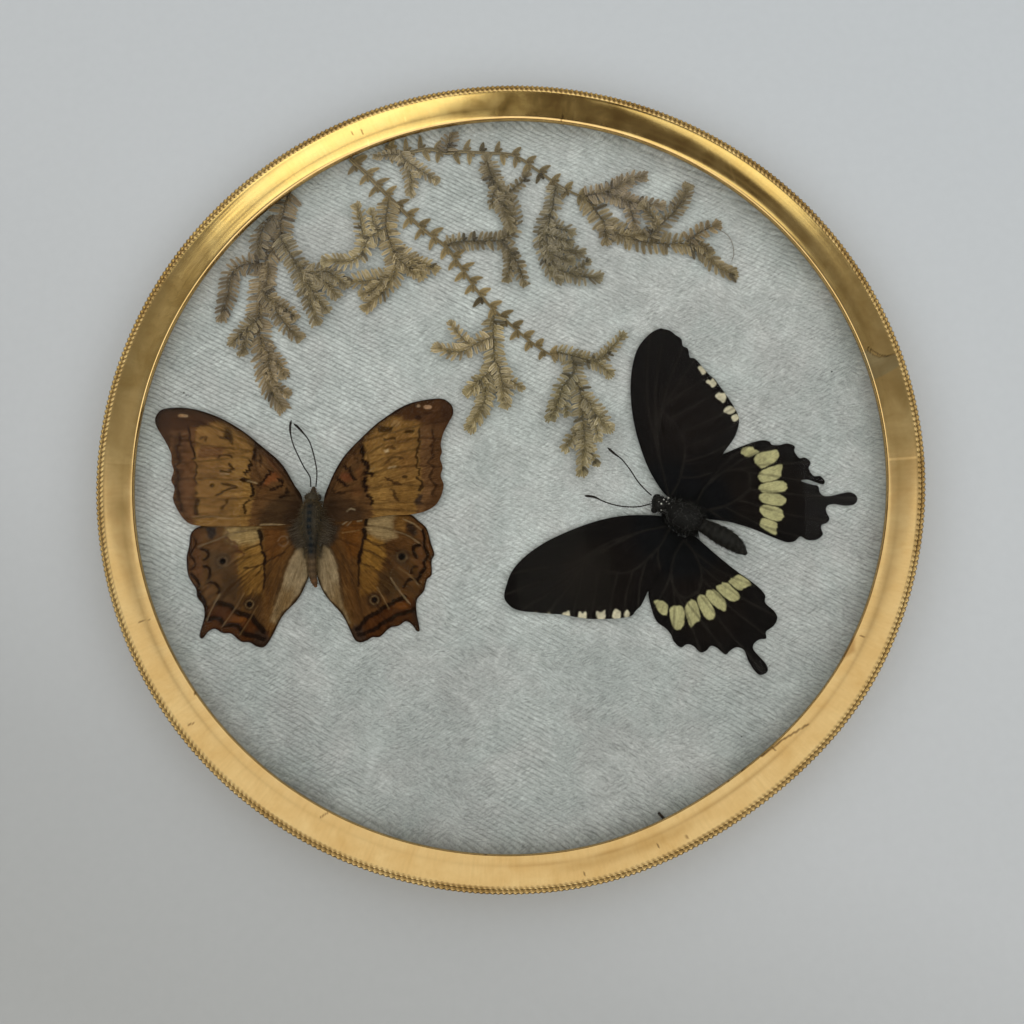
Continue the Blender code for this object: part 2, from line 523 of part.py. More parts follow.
class Path:
    """A smooth route that gives the place, direction and turn at any distance along it."""

    def __init__(self, route):
        self.points = smooth_route(route, PATH_STEP)
        self.runs = [0.0]
        for a, b in zip(self.points, self.points[1:]):
            self.runs.append(self.runs[-1] + (b - a).length)
        self.length = self.runs[-1]

    def place(self, distance):
        distance = min(max(distance, 0.0), self.length)
        index = next(i for i in range(1, len(self.runs)) if self.runs[i] >= distance)
        start, end = self.points[index - 1], self.points[index]
        share = (distance - self.runs[index - 1]) / (self.runs[index] - self.runs[index - 1])
        return start.lerp(end, share)

    def direction(self, distance, reach=1.0):
        span = self.place(distance + reach) - self.place(distance - reach)
        return span.normalized()

    def turn(self, distance):
        """Signed bend per millimetre, positive to the left."""
        before = self.direction(distance - 1.5)
        after = self.direction(distance + 1.5)
        return (before.x * after.y - before.y * after.x) / 3.0


def strip_side(path, side, reach, pitch):
    """One side of a strip: the leaflet tips and the notches or stem between them."""
    dense = pitch <= DENSE
    outline = []
    count = max(1, int((path.length - 0.4 * pitch) / pitch))
    for index in range(count):
        along = (index + (0.55 if side > 0 else 0.85)) * pitch
        if along > path.length - 0.3 * pitch:
            break
        taper = 1.0 - 0.3 * (along / path.length) ** 2
        out = reach * taper
        bend = path.turn(along) * side
        if bend > 0.0:
            out = min(out, 0.75 / bend)
        ahead = path.direction(along)
        across = Vector((-ahead.y, ahead.x)) * side
        half = pitch / 2.0 if dense else LEAF_HALF_BASE
        base = out * NOTCH_SHARE if dense else STEM_HALF
        outline.append(path.place(along - half) + across * base)
        outline.append(path.place(along) + ahead * LEAN + across * out)
        if not dense:
            outline.append(path.place(along + half) + across * base)
    return outline


def keep_inside(point, limit):
    """The point, drawn in to the circle under the glass's edge if it lies outside it."""
    return point * (limit / point.length) if point.length > limit else point


def strip_outline(route, reach, pitch, limit):
    """The closed outline of a stem with its leaflets, ending in a pointed shoot."""
    path = Path(route)
    left = strip_side(path, 1, reach, pitch)
    right = strip_side(path, -1, reach, pitch)
    tip = path.place(path.length) + path.direction(path.length) * min(reach, 1.6)
    start = path.place(0.0)
    across = Vector((-path.direction(0.0).y, path.direction(0.0).x)) * STEM_HALF
    outline = [start + across] + left + [tip] + right[::-1] + [start - across]
    return [keep_inside(point, limit) for point in outline]


def make_sprig(name, level, strips, parts, cutters, material):
    """One piece of clubmoss: its strips joined where they cross, the side lobes a little thinner."""
    bottom = LOWER_WING_Z + level * FROND_LEVEL
    sprig = None
    for index, (route, reach, pitch) in enumerate(strips):
        outline = strip_outline(route, reach, pitch, SPRIG_LIMIT_R[level])
        thickness = FROND_THICK if index == 0 else LOBE_THICK - 0.02 * index
        low = bottom + (FROND_THICK - thickness) / 2.0
        strip = plate(f"{name}_{index}", outline, low, thickness, cutters, material)
        mesh = as_mesh(strip)
        matrix = strip.matrix_world.copy()
        bpy.data.objects.remove(strip, do_unlink=True)
        if index == 0:
            sprig = add_object(name, mesh, parts, material)
            sprig.matrix_world = matrix
            continue
        lobe = add_object(f"{name}_lobe_{index}", mesh, cutters, material)
        lobe.matrix_world = matrix
        hide_helper(lobe, cutters)
        join = sprig.modifiers.new(lobe.name, "BOOLEAN")
        join.operation = "UNION"
        join.object = lobe
    return sprig


def make_cruiser(parts, brown, fur):
    for side, forewing, hindwing in (
        ("left", CRUISER_LEFT_FOREWING, CRUISER_LEFT_HINDWING),
        ("right", CRUISER_RIGHT_FOREWING, CRUISER_RIGHT_HINDWING),
    ):
        plate(f"cruiser_forewing_{side}", forewing, UPPER_WING_Z, WING_THICK, parts, brown)
        plate(f"cruiser_hindwing_{side}", hindwing, LOWER_WING_Z, WING_THICK, parts, brown)
    make_body("cruiser_body", CRUISER_BODY, 9, parts, fur)


def make_mormon(parts, black, fur):
    for side, forewing, hindwing in (
        ("upper", MORMON_UPPER_FOREWING, MORMON_UPPER_HINDWING),
        ("lower", MORMON_LOWER_FOREWING, MORMON_LOWER_HINDWING),
    ):
        plate(f"mormon_forewing_{side}", forewing, UPPER_WING_Z, WING_THICK, parts, black)
        plate(f"mormon_hindwing_{side}", hindwing, LOWER_WING_Z, WING_THICK, parts, black)
    make_body("mormon_body", MORMON_BODY, 8, parts, fur)


def main():
    clear_scene()
    parts = new_collection("insect_dome")
    cutters = new_collection("helpers")
    gilt = new_material("gilt_metal", (0.72, 0.52, 0.24), 0.28, metallic=1.0)
    glass = new_material("clear_glass", (0.97, 1.0, 0.98), 0.0, transmission=1.0)
    velvet = new_material("pale_velvet", (0.37, 0.40, 0.36), 0.95)
    card = new_material("grey_card", (0.42, 0.40, 0.36), 0.9)
    cover = new_material("cover_board", (0.09, 0.07, 0.05), 0.8)
    brown = new_material("cruiser_wing", (0.22, 0.11, 0.04), 0.75)
    black = new_material("mormon_wing", (0.012, 0.011, 0.01), 0.8)
    fur = new_material("insect_fur", (0.03, 0.03, 0.028), 0.85)
    moss = new_material("dried_clubmoss", (0.17, 0.14, 0.08), 0.85)

    make_rim(parts, cutters, gilt)
    turned("glass_dome", glass_profile(), GLASS_SIDES, parts, glass)
    make_disc("velvet_sheet", VELVET_Z, parts, velvet)
    make_disc("backing_card", CARD_Z, parts, card)
    make_disc("back_cover", COVER_Z, parts, cover)
    make_cruiser(parts, brown, fur)
    make_mormon(parts, black, fur)
    for name, (route, height) in ANTENNAE.items():
        make_antenna(name, route, height, parts, fur)
    for name, (level, strips) in SPRIGS.items():
        make_sprig(name, level, strips, parts, cutters, moss)


main()
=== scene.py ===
"""The dressed frame of butterflies: brass rim, domed glass, velvet, wings, fur and clubmoss.

Lengths are in millimetres until a mesh is made. The origin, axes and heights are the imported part's.
"""
import math

import bpy
import numpy as np
from mathutils import Matrix, Vector
from mathutils.geometry import delaunay_2d_cdt


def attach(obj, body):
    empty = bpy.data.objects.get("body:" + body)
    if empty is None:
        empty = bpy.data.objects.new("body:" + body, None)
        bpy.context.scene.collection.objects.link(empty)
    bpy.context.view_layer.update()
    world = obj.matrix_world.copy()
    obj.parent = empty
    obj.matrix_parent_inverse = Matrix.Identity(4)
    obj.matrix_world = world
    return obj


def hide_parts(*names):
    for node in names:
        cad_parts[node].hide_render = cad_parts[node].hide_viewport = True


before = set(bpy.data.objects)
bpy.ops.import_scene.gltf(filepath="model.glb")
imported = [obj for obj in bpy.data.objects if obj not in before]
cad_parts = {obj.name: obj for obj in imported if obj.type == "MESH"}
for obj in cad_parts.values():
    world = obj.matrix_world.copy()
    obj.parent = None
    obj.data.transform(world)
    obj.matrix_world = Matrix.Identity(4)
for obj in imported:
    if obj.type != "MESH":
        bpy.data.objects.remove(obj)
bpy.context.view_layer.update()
bpy.context.scene.view_settings.view_transform = "Standard"

MM = 0.001
TAU = 2.0 * math.pi

# Heights and radii shared with the solids.
KNURL_Z = 9.0
RIM_TOP, RIM_REACH = 9.95, 94.88
DRUM_INNER_R, LIP_R, LIP_UNDERSIDE = 90.0, 86.9, 6.2
VELVET_LOW, VELVET_TOP = 2.6, 3.7
CARD_LOW, CARD_TOP = 1.7, 2.3
COVER_LOW, COVER_TOP = 0.8, 1.4
PANE_R = 88.6
GLASS_EDGE_BOTTOM = 4.3
GLASS_THICK = 1.2
GLASS_RISE = 11.0
GLASS_BALL_R = (PANE_R**2 + GLASS_RISE**2) / (2.0 * GLASS_RISE)
HINDWING_LOW, FOREWING_LOW = 4.0, 4.6
FRONT_LOW, ABDOMEN_LOW = 4.0, 4.6
SPRIG_LOW, SPRIG_STEP = 4.0, 0.5
DENT_ANGLE, DENT_HALF_WIDTH, DENT_DEPTH = 305.0, 26.0, 0.85
KNURLS = 488
DISC_SIDES = 144


# ---------------------------------------------------------------- small helpers

def path(text):
    """Points from a string of "x,y x,y", or of three numbers each."""
    return [tuple(float(number) for number in point.split(",")) for point in text.split()]


def linear(colour):
    """Display colour 0-255 as linear light."""
    c = np.asarray(colour, float) / 255.0
    return np.where(c <= 0.04045, c / 12.92, ((c + 0.055) / 1.055) ** 2.4)


def lattice(ix, iy, seed):
    """A number from 0 to 1 at each whole place, as if drawn by chance."""
    h = (ix * 374761393 + iy * 668265263 + seed * 982451653) & 0x7FFFFFFF
    h = ((h ^ (h >> 13)) * 1274126177) & 0x7FFFFFFF
    return ((h ^ (h >> 16)) & 0xFFFF) / 65535.0


def value_noise(x, y, seed=0):
    """Smooth noise from 0 to 1 at numpy places."""
    ix, iy = np.floor(x).astype(np.int64), np.floor(y).astype(np.int64)
    fx, fy = x - ix, y - iy
    fx, fy = fx * fx * (3 - 2 * fx), fy * fy * (3 - 2 * fy)
    a, b = lattice(ix, iy, seed), lattice(ix + 1, iy, seed)
    c, d = lattice(ix, iy + 1, seed), lattice(ix + 1, iy + 1, seed)
    return (a * (1 - fx) + b * fx) * (1 - fy) + (c * (1 - fx) + d * fx) * fy


def cloudy(x, y, seed=0, octaves=3):
    """Noise from 0 to 1 with finer noise on top."""
    total, size = 0.0, 1.0
    for k in range(octaves):
        total = total + value_noise(x * 2**k + 17.3 * k, y * 2**k - 9.1 * k, seed + k) * size
        size *= 0.5
    return total / (2.0 - 2.0 ** (1 - octaves))


def ramp(value, low, high):
    """0 below low, 1 above high, smooth between."""
    t = np.clip((value - low) / (high - low), 0.0, 1.0)
    return t * t * (3 - 2 * t)


def blend(first, second, share):
    return first * (1 - share) + second * share


def unit(vectors):
    """Vectors along the last axis made one long."""
    return vectors / np.linalg.norm(vectors, axis=-1, keepdims=True)


def runs_along(curve):
    """Length of the curve up to each of its points."""
    return np.concatenate([[0.0], np.cumsum(np.linalg.norm(np.diff(curve, axis=0), axis=1))])


def to_line(points, line):
    """Distance from each point to a polyline."""
    best = np.full(len(points), 1e9)
    for a, b in zip(line, line[1:]):
        a, b = np.asarray(a, float), np.asarray(b, float)
        d = b - a
        t = np.clip(((points - a) @ d) / max(d @ d, 1e-9), 0.0, 1.0)
        best = np.minimum(best, np.hypot(*(points - a - t[:, None] * d).T))
    return best


def is_inside(points, outline):
    result = np.zeros(len(points), bool)
    x, y = points.T
    for (ax, ay), (bx, by) in zip(outline, outline[1:] + outline[:1]):
        crosses = (ay > y) != (by > y)
        with np.errstate(divide="ignore", invalid="ignore"):
            at = ax + (y - ay) * (bx - ax) / (by - ay)
        result ^= crosses & (x < at)
    return result


def signed(points, outline):
    """Distance to a closed outline, negative inside it."""
    outline = [tuple(p) for p in outline]
    distance = to_line(points, outline + outline[:1])
    return np.where(is_inside(points, outline), -distance, distance)


def smooth_curve(points, step, closed=False):
    """Points about one step apart on a smooth curve through the given points."""
    p = [np.asarray(q, float) for q in points]
    n = len(p)
    made = []
    for i in range(n if closed else n - 1):
        b, c = p[i], p[(i + 1) % n]
        a = p[(i - 1) % n] if closed or i else 2 * b - c
        d = p[(i + 2) % n] if closed or i + 2 < n else 2 * c - b
        length = np.linalg.norm(c - b)
        count = max(1, int(round(length / step)))
        m0 = (c - a) / max(np.linalg.norm(b - a) + length, 1e-6) * length
        m1 = (d - b) / max(np.linalg.norm(d - c) + length, 1e-6) * length
        for k in range(count):
            t = k / count
            made.append(
                (2 * t**3 - 3 * t**2 + 1) * b + (t**3 - 2 * t**2 + t) * m0
                + (3 * t**2 - 2 * t**3) * c + (t**3 - t**2) * m1
            )
    if not closed:
        made.append(p[-1])
    return np.array(made)


def circle(sides):
    return np.arange(sides) / sides * TAU


def quads(first, second, count):
    """Quads between two closed rows of points."""
    turned = [(k, (k + 1) % count) for k in range(count)]
    return [(first + k, first + m, second + m, second + k) for k, m in turned]


def ring_faces(around, across, closed=True):
    """Quads of a grid that closes on itself around, and across too if closed."""
    faces = []
    for i in range(around):
        a, b = i * across, ((i + 1) % around) * across
        for j in range(across if closed else across - 1):
            k = (j + 1) % across
            faces.append((a + j, b + j, b + k, a + k))
    return faces


def add_field(mesh, name, kind, key, values):
    field = mesh.attributes.new(name, kind, "POINT")
    field.data.foreach_set(key, np.asarray(values, np.float32).ravel())


def solid_mesh(name, verts, faces, materials, colours=None, smooth=True, slots=None):
    """A mesh piece from millimetre points."""
    mesh = bpy.data.meshes.new(name)
    mesh.from_pydata((np.asarray(verts, float) * MM).tolist(), [], [list(f) for f in faces])
    mesh.polygons.foreach_set("use_smooth", [smooth] * len(mesh.polygons))
    for material in materials:
        mesh.materials.append(material)
    if slots is not None:
        mesh.polygons.foreach_set("material_index", slots)
    if colours is not None:
        tint = np.column_stack([colours, np.ones(len(colours))]).astype(np.float32)
        mesh.color_attributes.new("tint", "FLOAT_COLOR", "POINT").data.foreach_set("color", tint.ravel())
    mesh.update()
    return in_scene(bpy.data.objects.new(name, mesh))


def in_scene(obj):
    bpy.context.scene.collection.objects.link(obj)
    return obj


def finish_piece(obj, slot, *nodes):
    """The piece rides on the part and stands for these nodes; the slot is not used."""
    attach(obj, "root")
    if nodes:
        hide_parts(*nodes)
    return obj


class Shades:
    """A node material that starts from one principled shader."""

    def __init__(self, name, roughness=0.5, metallic=0.0, specular=0.5):
        self.material = bpy.data.materials.new(name)
        self.material.use_nodes = True
        self.nodes = self.material.node_tree.nodes
        self.links = self.material.node_tree.links
        self.shader = self.nodes["Principled BSDF"]
        self.surface(Roughness=roughness, Metallic=metallic, Specular_IOR_Level=specular)

    def feed(self, socket, value):
        """Link a socket to the value, or set it."""
        if hasattr(value, "is_linked"):
            self.links.new(value, socket)
        else:
            socket.default_value = value

    def set(self, node, **values):
        for key, value in values.items():
            self.feed(node.inputs[key.replace("_", " ")], value)
        return node

    def surface(self, **values):
        """Inputs of the principled shader."""
        self.set(self.shader, **values)

    def node(self, kind, *values, **settings):
        """A new node with these settings and, in the order of its sockets, these values."""
        node = self.nodes.new("ShaderNode" + kind)
        for key, setting in settings.items():
            setattr(node, key, setting)
        for socket, value in zip(node.inputs, values):
            self.feed(socket, value)
        return node

    def place(self, scale=(1.0, 1.0, 1.0), turn=0.0):
        """Object coordinates in millimetres, turned about Z by so many degrees and scaled."""
        move = self.node("Mapping", self.node("TexCoord").outputs["Object"], vector_type="TEXTURE")
        self.set(move, Rotation=(0.0, 0.0, math.radians(turn)), Scale=tuple(MM / s for s in scale))
        return move.outputs["Vector"]

    def split(self, vector):
        """The X, Y and Z of a vector."""
        return self.node("SeparateXYZ", vector).outputs

    def length(self, *vectors):
        """How long one vector is, or how far apart two are."""
        kind = "LENGTH" if len(vectors) == 1 else "DISTANCE"
        return self.node("VectorMath", *vectors, operation=kind).outputs["Value"]

    def noise(self, vector, scale, detail=3.0, roughness=0.55, distortion=0.0):
        node = self.node("TexNoise", vector)
        self.set(node, Scale=scale, Detail=detail, Roughness=roughness, Distortion=distortion)
        return node.outputs["Fac"]

    def ramp(self, value, *stops):
        """A colour ramp. A stop is a place and a colour, or a place and one number for a grey."""
        node = self.node("ValToRGB", value)
        elements = node.color_ramp.elements
        elements[0].position, elements[1].position = stops[0][0], stops[-1][0]
        for place, _ in stops[1:-1]:
            elements.new(place)
        for element, (_, colour) in zip(elements, stops):
            element.color = (*np.broadcast_to(colour, 3), 1.0)
        return node.outputs["Color"]

    def grey(self, value, low, high, to_low=0.0, to_high=1.0):
        """The value moved from one range into another, and held within it."""
        return self.node("MapRange", value, low, high, to_low, to_high).outputs["Result"]

    def mix(self, kind, factor, first, second):
        node = self.node("Mix", data_type="RGBA", blend_type=kind)
        for key, value in (("Factor", factor), ("A", first), ("B", second)):
            self.feed(next(s for s in node.inputs if s.name == key and s.enabled), value)
        return next(s for s in node.outputs if s.enabled)

    def times(self, base, value, *stops, share=1.0):
        """The base colour multiplied by a ramp of the value, in full or by a share."""
        return self.mix("MULTIPLY", share, base, self.ramp(value, *stops))

    def add(self, first, second, kind="ADD"):
        return self.node("Math", first, second, operation=kind).outputs[0]

    def total(self, *parts):
        """The sum of values, each times its weight."""
        result, *others = [self.add(value, weight, "MULTIPLY") for value, weight in parts]
        for part in others:
            result = self.add(result, part)
        return result

    def attribute(self, name, output):
        return self.node("Attribute", attribute_name=name).outputs[output]

    def bump(self, height, strength, distance):
        node = self.set(self.node("Bump"), Height=height, Strength=strength, Distance=distance * MM)
        self.surface(Normal=node.outputs["Normal"])


# ---------------------------------------------------------------- camera, floor, light

# Worked out from the photo: the camera's right and back, its place and its lens.
CAMERA_RIGHT, CAMERA_BACK = (0.9995, 0.0, -0.0315), (0.0309, -0.1904, 0.9812)
CAMERA_PLACE = (8.84, -57.94, 236.33 + KNURL_Z)
CAMERA_LENS = 37.27


def make_camera():
    camera = in_scene(bpy.data.objects.new("photo_camera", bpy.data.cameras.new("photo_camera")))
    back = Vector(CAMERA_BACK).normalized()
    up = back.cross(Vector(CAMERA_RIGHT)).normalized()
    right = up.cross(back).normalized()
    turn = Matrix((right, up, back)).transposed()
    camera.matrix_world = Matrix.Translation(Vector(CAMERA_PLACE) * MM) @ turn.to_4x4()
    camera.data.lens = CAMERA_LENS
    camera.data.sensor_width = 36.0
    camera.data.clip_start = 0.005
    camera.data.clip_end = 20.0
    bpy.context.scene.camera = camera


# x and y ranges in metres, radiance and colour of each ceiling panel.
WHITE, WARM, DUSK = (1.0, 1.0, 1.0), (0.98, 1.0, 0.76), (0.95, 1.0, 0.93)
PANELS = [
    (-2.4, 2.4, 0.345, 2.9, 0.78, WHITE), (-0.9, 0.9, 0.315, 0.345, 0.53, WHITE),
    (-0.9, 0.9, 0.285, 0.315, 0.39, WHITE), (-0.9, 0.9, 0.255, 0.285, 0.28, DUSK),
    (-0.9, -0.16, -0.3, 0.255, 0.16, DUSK), (-0.01, 0.9, -0.3, 0.255, 0.16, DUSK),
    (-0.16, -0.01, 0.17, 0.255, 0.1, DUSK), (-2.4, -0.9, -2.4, 0.345, 1.15, WHITE),
    (0.9, 2.4, -2.4, 0.345, 1.4, WHITE), (-0.9, 0.9, -2.4, -0.3, 1.2, WHITE),
]
# Just in front of them, the two bright windows with a slanted edge.
WINDOWS = [
    (-0.01, 0.06, -0.3, 0.175, 1.5, WARM), (0.06, 0.12, -0.3, 0.135, 1.7, WARM),
    (0.12, 0.18, -0.3, 0.085, 1.6, WARM), (0.18, 0.25, -0.3, 0.02, 1.1, WARM),
    (-0.24, -0.17, -0.3, 0.125, 0.9, WARM), (-0.3, -0.24, -0.3, 0.08, 1.2, WARM),
    (-0.37, -0.3, -0.3, 0.02, 1.3, WARM),
]
PANEL_HEIGHT, WINDOW_HEIGHT = 1.2, 1.19


def panel(name, across, along, radiance, colour, height):
    """A ceiling panel over these ranges of x and y, equally bright all over."""
    data = bpy.data.lights.new(name, "AREA")
    data.shape = "RECTANGLE"
    data.size, data.size_y = across[1] - across[0], along[1] - along[0]
    data.energy = radiance * math.pi * data.size * data.size_y
    data.color = colour
    light = in_scene(bpy.data.objects.new(name, data))
    light.location = (sum(across) / 2.0, sum(along) / 2.0, height)


def table_paint():
    """A pale table with painted shade toward one corner and painted light toward the opposite one."""
    shades = Shades("pale_table", roughness=0.62, specular=0.25)
    grain = shades.noise(shades.place(), 0.4, 4.0)
    base = shades.ramp(grain, (0.0, linear((196, 200, 203))), (1.0, linear((201, 205, 208))))
    # Painted light and shade: darker toward the lower left, lighter toward the upper right.
    part = shades.split(shades.place((0.43, 0.93, 1.0)))
    painted_light_fall = shades.grey(shades.add(part["X"], part["Y"]), -150.0, 150.0)
    shades.surface(Base_Color=shades.times(
        base, painted_light_fall, (0.0, (0.765, 0.75, 0.72)), (0.15, (0.82, 0.81, 0.79)), (0.34, (1.0, 0.995, 0.99)),
        (0.62, (1.08, 1.085, 1.09)), (1.0, (1.11, 1.13, 1.15))))
    shades.bump(grain, 0.04, 0.2)
    return shades.material


def make_stage():
    bpy.ops.mesh.primitive_plane_add(size=4.0, location=(0.0, 0.0, -0.0001))
    floor = bpy.context.object
    floor.name = "floor"
    floor.data.materials.append(table_paint())

    world = bpy.data.worlds.new("studio")
    bpy.context.scene.world = world
    world.use_nodes = True
    background = world.node_tree.nodes["Background"]
    background.inputs["Color"].default_value = (1.0, 0.86, 0.72, 1.0)
    background.inputs["Strength"].default_value = 0.08
    # Wide ceiling panels. The brass mirrors the gaps between them as its dark stretches.
    for index, (x0, x1, y0, y1, radiance, colour) in enumerate(PANELS + WINDOWS):
        height = PANEL_HEIGHT if index < len(PANELS) else WINDOW_HEIGHT
        panel("panel_%02d" % index, (x0, x1), (y0, y1), radiance, colour, height)


# ---------------------------------------------------------------- rim

def dent_at(phi):
    share = (np.degrees(phi) % 360.0 - DENT_ANGLE) / DENT_HALF_WIDTH
    return np.where(np.abs(share) < 1.0, DENT_DEPTH * np.cos(share * math.pi / 2.0) ** 2, 0.0)


def brass():
    """Polished gilt brass with fine marks that run around the ring."""
    shades = Shades("gilt_brass", roughness=0.3, metallic=1.0)
    coord = shades.node("TexCoord").outputs["Object"]
    part = shades.split(coord)
    angle = shades.add(part["Y"], part["X"], "ARCTAN2")
    vector = shades.node(
        "CombineXYZ", shades.add(angle, 95.0, "MULTIPLY"),
        shades.add(shades.length(coord), 1.0 / MM, "MULTIPLY"), shades.add(part["Z"], 1.0 / MM, "MULTIPLY"),
    ).outputs[0]
    across = shades.set(shades.node("Mapping", vector), Scale=(1.6, 0.12, 0.12))
    fine = shades.noise(across.outputs[0], 1.0, 4.0, 0.7)
    blotch = shades.noise(vector, 0.16, 5.0, 0.6, 0.4)
    speck = shades.noise(vector, 2.6, 3.0, 0.7)
    gold = shades.ramp(blotch, (0.3, linear((222, 184, 118))), (0.7, linear((236, 203, 140))))
    gold = shades.times(gold, fine, (0.32, (0.72, 0.68, 0.6)), (0.6, 1.0), share=0.16)
    gold = shades.times(gold, speck, (0.22, (0.45, 0.38, 0.28)), (0.34, 1.0), share=0.5)
    rough = shades.add(shades.grey(blotch, 0.3, 0.7, 0.07, 0.12), shades.grey(fine, 0.3, 0.7, 0.015, 0.0))
    shades.surface(Base_Color=shades.mix("MULTIPLY", 1.0, gold, shades.attribute("tint", "Color")),
                  Roughness=rough)
    shades.bump(shades.total((fine, 0.4), (speck, 0.4)), 0.05, 0.03)
    return shades.material


# Section of the ring: radius, height, share of the milling.
RIM_KEYS = path(
    "92.8,0,0 92.8,4,0 92.8,7.7,0 92.95,8.05,0 93.5,8.12,0.4 94.2,8.3,0.9 94.66,8.62,1 94.88,8.98,1 "
    "94.86,9.2,1 94.7,9.46,1 94.5,9.6,1 94.3,9.6,1 94.12,9.46,0.7 93.98,9.46,0.7 93.8,9.66,1 93.6,9.76,1 "
    "93.4,9.7,0.6 93.25,9.52,0.1"
)
# Slope of the polished band, in degrees, from each of these radii inward.
BAND = path(
    "93.18,14 93,24 92.7,22 92.3,20.6 91.9,19.2 91.5,18 91,17 90.5,16.3 90.1,15.7 89.8,15.2 89.5,14.6 "
    "89.3,14.3 89.1,14.9 88.8,15.6 88.4,16.2 88.1,17 87.8,19 87.55,25 87.35,33 87.2,44 87.08,57 86.99,72 "
    "86.93,84"
)
BAND_TOP = 9.5
# Where the milling of the bead starts, and where its crest does.
MILLED_R, CREST_Z = 93.9, 9.3


def rim_section():
    keys = list(RIM_KEYS)
    height = BAND_TOP
    for (r, slope), (after, _) in zip(BAND, BAND[1:] + [(LIP_R, 0.0)]):
        keys.append((r, height, 0.0))
        height -= math.tan(math.radians(slope)) * (r - after)
    low = LIP_UNDERSIDE
    return keys + [(LIP_R, height, 0.0), (LIP_R, low + 0.1, 0.0), (LIP_R + 0.1, low, 0.0),
                   (DRUM_INNER_R - 0.1, low, 0.0), (DRUM_INNER_R, low - 0.1, 0.0), (DRUM_INNER_R, 0.0, 0.0)]


def make_rim(metal):
    around = KNURLS * 4
    phi = circle(around)
    degrees = np.degrees(phi)
    keys = rim_section()
    flat = degrees * 0.0
    uneven = cloudy(degrees / 11.0, flat, 5) - 0.5
    worn = cloudy(degrees / 4.0, flat + 2.0, 14)
    points, tints = [], []
    for r, z, knurl in keys:
        ripple = np.sin(phi * KNURLS / 2.0 + (94.0 - r) * 1.1) ** 2
        wander = (cloudy(degrees / 8.0, flat + r * 0.12, 8) - 0.5) * 0.06
        milled = knurl * (ripple - 0.7)
        radius = r + wander - dent_at(phi) + milled * (0.2 + 0.16 * worn) * (r > MILLED_R)
        radius = np.minimum(radius, RIM_REACH)
        sunk = milled * (0.2 + 0.14 * worn) * (z > CREST_Z)
        height = z + sunk + (uneven * 0.05 + wander * 0.2) * (z > 6.5)
        points.append(np.stack([radius * np.cos(phi), radius * np.sin(phi), height], -1))
        tints.append(rim_tint(degrees, r, z, knurl, ripple))
    verts = np.stack(points, 1).reshape(-1, 3)
    colours = np.stack(tints, 1).reshape(-1, 3)
    verts[:, 2] = np.clip(verts[:, 2], 0.0, RIM_TOP)
    faces = [f[::-1] for f in ring_faces(around, len(keys))]
    return solid_mesh("gilt_rim", verts, faces, [metal], colours)


# Places on the rim are given as degrees and radius.
DEGREE_LENGTH = 1.55
SEAM_DEGREE_LENGTH = 1.57


def on_rim(places, degree_length):
    """Places given as degrees and radius, with the degrees as lengths along the ring."""
    return [(degrees * degree_length, r) for degrees, r in places]


def mark(degrees, r, line, half_width):
    """How strongly a mark along a line of (degrees, radius) covers these places."""
    places = np.stack([degrees * DEGREE_LENGTH, np.full_like(degrees, r)], -1)
    return 1.0 - ramp(to_line(places, on_rim(line, DEGREE_LENGTH)), half_width * 0.4, half_width)


# Scratches and stains: a line and half its width.
DARK_MARKS = [
    ("220.3,92 220.6,91", 0.22), ("280.5,92.4 280.6,91.7", 0.2), ("291,91.5 291,91", 0.2),
    ("295,92.3 295,91.7", 0.22), ("217.2,87.3 217,86.8", 0.3), ("267,86.9 267.2,86.9", 0.3),
    ("318,89.1 316.3,88.4 313.7,87.5 310,87.2", 0.26), ("304,87.1 304.2,86.6", 0.25),
    ("306.5,86.9 309,86.5", 0.3), ("332.8,89 332.9,88.2", 0.2), ("312,88.1 312.1,87.3", 0.2),
    ("15.2,91.8 15.9,90 17.5,88.4", 0.18), ("113,91 113.1,90.2", 0.25), ("114.5,91.4 114.6,90.8", 0.2),
    ("81,88.3 81.1,87.2", 0.2), ("204,90.5 204.1,88.4", 0.16), ("243,89 243.6,87.4", 0.18),
]
PALE_MARKS = [
    ("53.8,91 52.6,89.6 51,88", 0.24), ("85,92 84.6,90.2", 0.14), ("87.5,91.6 87.6,90", 0.14),
    ("106,90.8 106.1,89.6", 0.16), ("112.6,88.6 113,86.9", 0.2),
]
SEAM = path("13.4,93.2 15.2,93.2 15.3,91.5 15.5,89.9 16.2,88.8 17.3,88 17.3,86 12.4,86 12.8,90")


